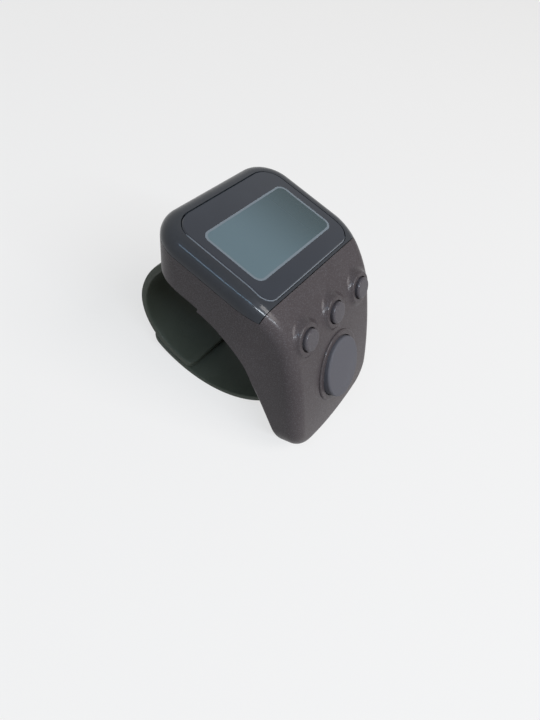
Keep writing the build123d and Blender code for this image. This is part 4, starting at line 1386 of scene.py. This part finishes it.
@dataclass
class Studio:
    """Camera, lamps, world and floor.

    Attributes:
        case: The case's frame, in which the camera is placed.
        effects: The shared node groups.
        eye: Place of the camera in case millimetres.
        right: Camera's right in the case's frame.
        above: Camera's up in the case's frame.
        behind: Camera's backward direction in the case's frame.
        lens: Focal length on a 36 mm sensor, in millimetres.
        lamps: All lamps.
        sky: Strength of the world's light.
        sky_colour: Colour of the world's light.
        backdrop: What rays that show the world directly see.
        floor_colour: Colour of the floor.
        floor_glow: What the floor adds for rays that show it directly.
    """

    case: CaseFrame
    effects: Effects
    eye: Triple = (-53.0, -20.9, 48.0)
    right: Triple = (0.577, -0.758, 0.304)
    above: Triple = (0.568, 0.640, 0.517)
    behind: Triple = (-0.587, -0.125, 0.800)
    lens: float = 25.0
    lamps: tuple[Lamp, ...] = (
        Lamp(
            "key", way=(0.12, -0.66, 0.74), far=0.9,
            wide=0.4, long=0.4, power=3.6, colour=(1.0, 0.97, 0.95),
        ),
        Lamp(
            "glint", way=(-0.3, -0.7, 0.65), far=0.5,
            wide=0.36, long=0.035, power=1.6, colour=(0.84, 0.92, 1.0), roll=-30.0,
        ),
        Lamp(
            "rim_strip", way=(-0.55, -0.03, 0.83), far=0.5,
            wide=0.34, long=0.025, power=0.4, colour=(0.45, 0.72, 1.0),
        ),
    )
    sky: float = 0.14
    sky_colour: Colour = (1.0, 0.95, 0.86)
    backdrop: Colour = (0.86, 0.86, 0.86)
    floor_colour: Colour = (0.22, 0.212, 0.207)
    floor_glow: float = 0.685

    def build(self) -> None:
        """Sets up everything that isn't the counter."""
        bpy.context.scene.view_settings.view_transform = "Standard"
        self.camera()
        low, high = (Vector(corner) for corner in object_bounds())
        for lamp in self.lamps:
            lamp.build((low + high) / 2)
        self.world()
        self.floor()

    def camera(self) -> None:
        """Places the camera where the photograph was taken from."""
        full = self.case.matrix
        axes = Matrix((self.right, self.above, self.behind)).transposed()
        turn = full.to_3x3().normalized() @ axes
        data = bpy.data.cameras.new("camera")
        data.lens = self.lens
        data.clip_start = MM
        camera = bpy.data.objects.new("camera", data)
        camera.matrix_world = Matrix.Translation(full @ Vector(self.eye)) @ turn.to_4x4()
        bpy.context.scene.collection.objects.link(camera)
        bpy.context.scene.camera = camera

    def world(self) -> None:
        """Even soft light from all round, with a pale backdrop for rays that show it."""
        world = bpy.data.worlds.new("studio")
        world.use_nodes = True
        t = NodeTree(world.node_tree)
        light = tuple(self.sky * part for part in self.sky_colour)
        shown = t.mix(t.seen(), light, self.backdrop)
        t.feed(t.tree.nodes["Background"].inputs["Color"], shown)
        bpy.context.scene.world = world

    def floor(self, reach: float = 2.0) -> None:
        """Lays the pale floor.

        Args:
            reach: Half of the floor's size, in metres.
        """
        corners = reach * np.array([(-1, -1, 0), (1, -1, 0), (1, 1, 0), (-1, 1, 0)])
        floor = new_object("floor", corners, [[0, 1, 2, 3]])
        floor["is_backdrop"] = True
        plain = FloorFinish(
            "pale_floor", colour=self.floor_colour, worn=self.floor_colour,
            rough=0.9, specular=0.1, bump=0.0, glow=self.floor_glow,
        )
        floor.data.materials.append(plain.material(self.effects))


@dataclass
class Counter:
    """The whole counter.

    Attributes:
        case: The case's frame.
        palette: Finishes of all nodes.
    """

    case: CaseFrame
    palette: Palette

    def pin(self, node: str) -> np.ndarray:
        """Middle of a pin in the case's side view."""
        low, high = (Vector(corner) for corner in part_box(node))
        return self.case.side_view((low + high) / 2)

    def build(self) -> None:
        """Builds the soft pieces and dresses everything."""
        for name, node in frame["nodes"].items():
            self.palette.dress(name, node)
        loop = StrapLoop(hinge=self.pin("front_strap_pin"), root=self.pin("rear_strap_pin"))
        self.palette.dress("front_strap", FrontStrap(loop).build(self.case))
        for piece in RearStrap(loop).build(self.case):
            self.palette.dress("rear_strap", piece)


def main() -> None:
    """Dresses the counter and sets up the studio."""
    logging.basicConfig(level=logging.INFO)
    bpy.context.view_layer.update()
    case = CaseFrame.from_record(frame["record"])
    effects = Effects(case)
    Counter(case, Palette(effects)).build()
    Studio(case, effects).build()


if __name__ == "__main__":
    main()
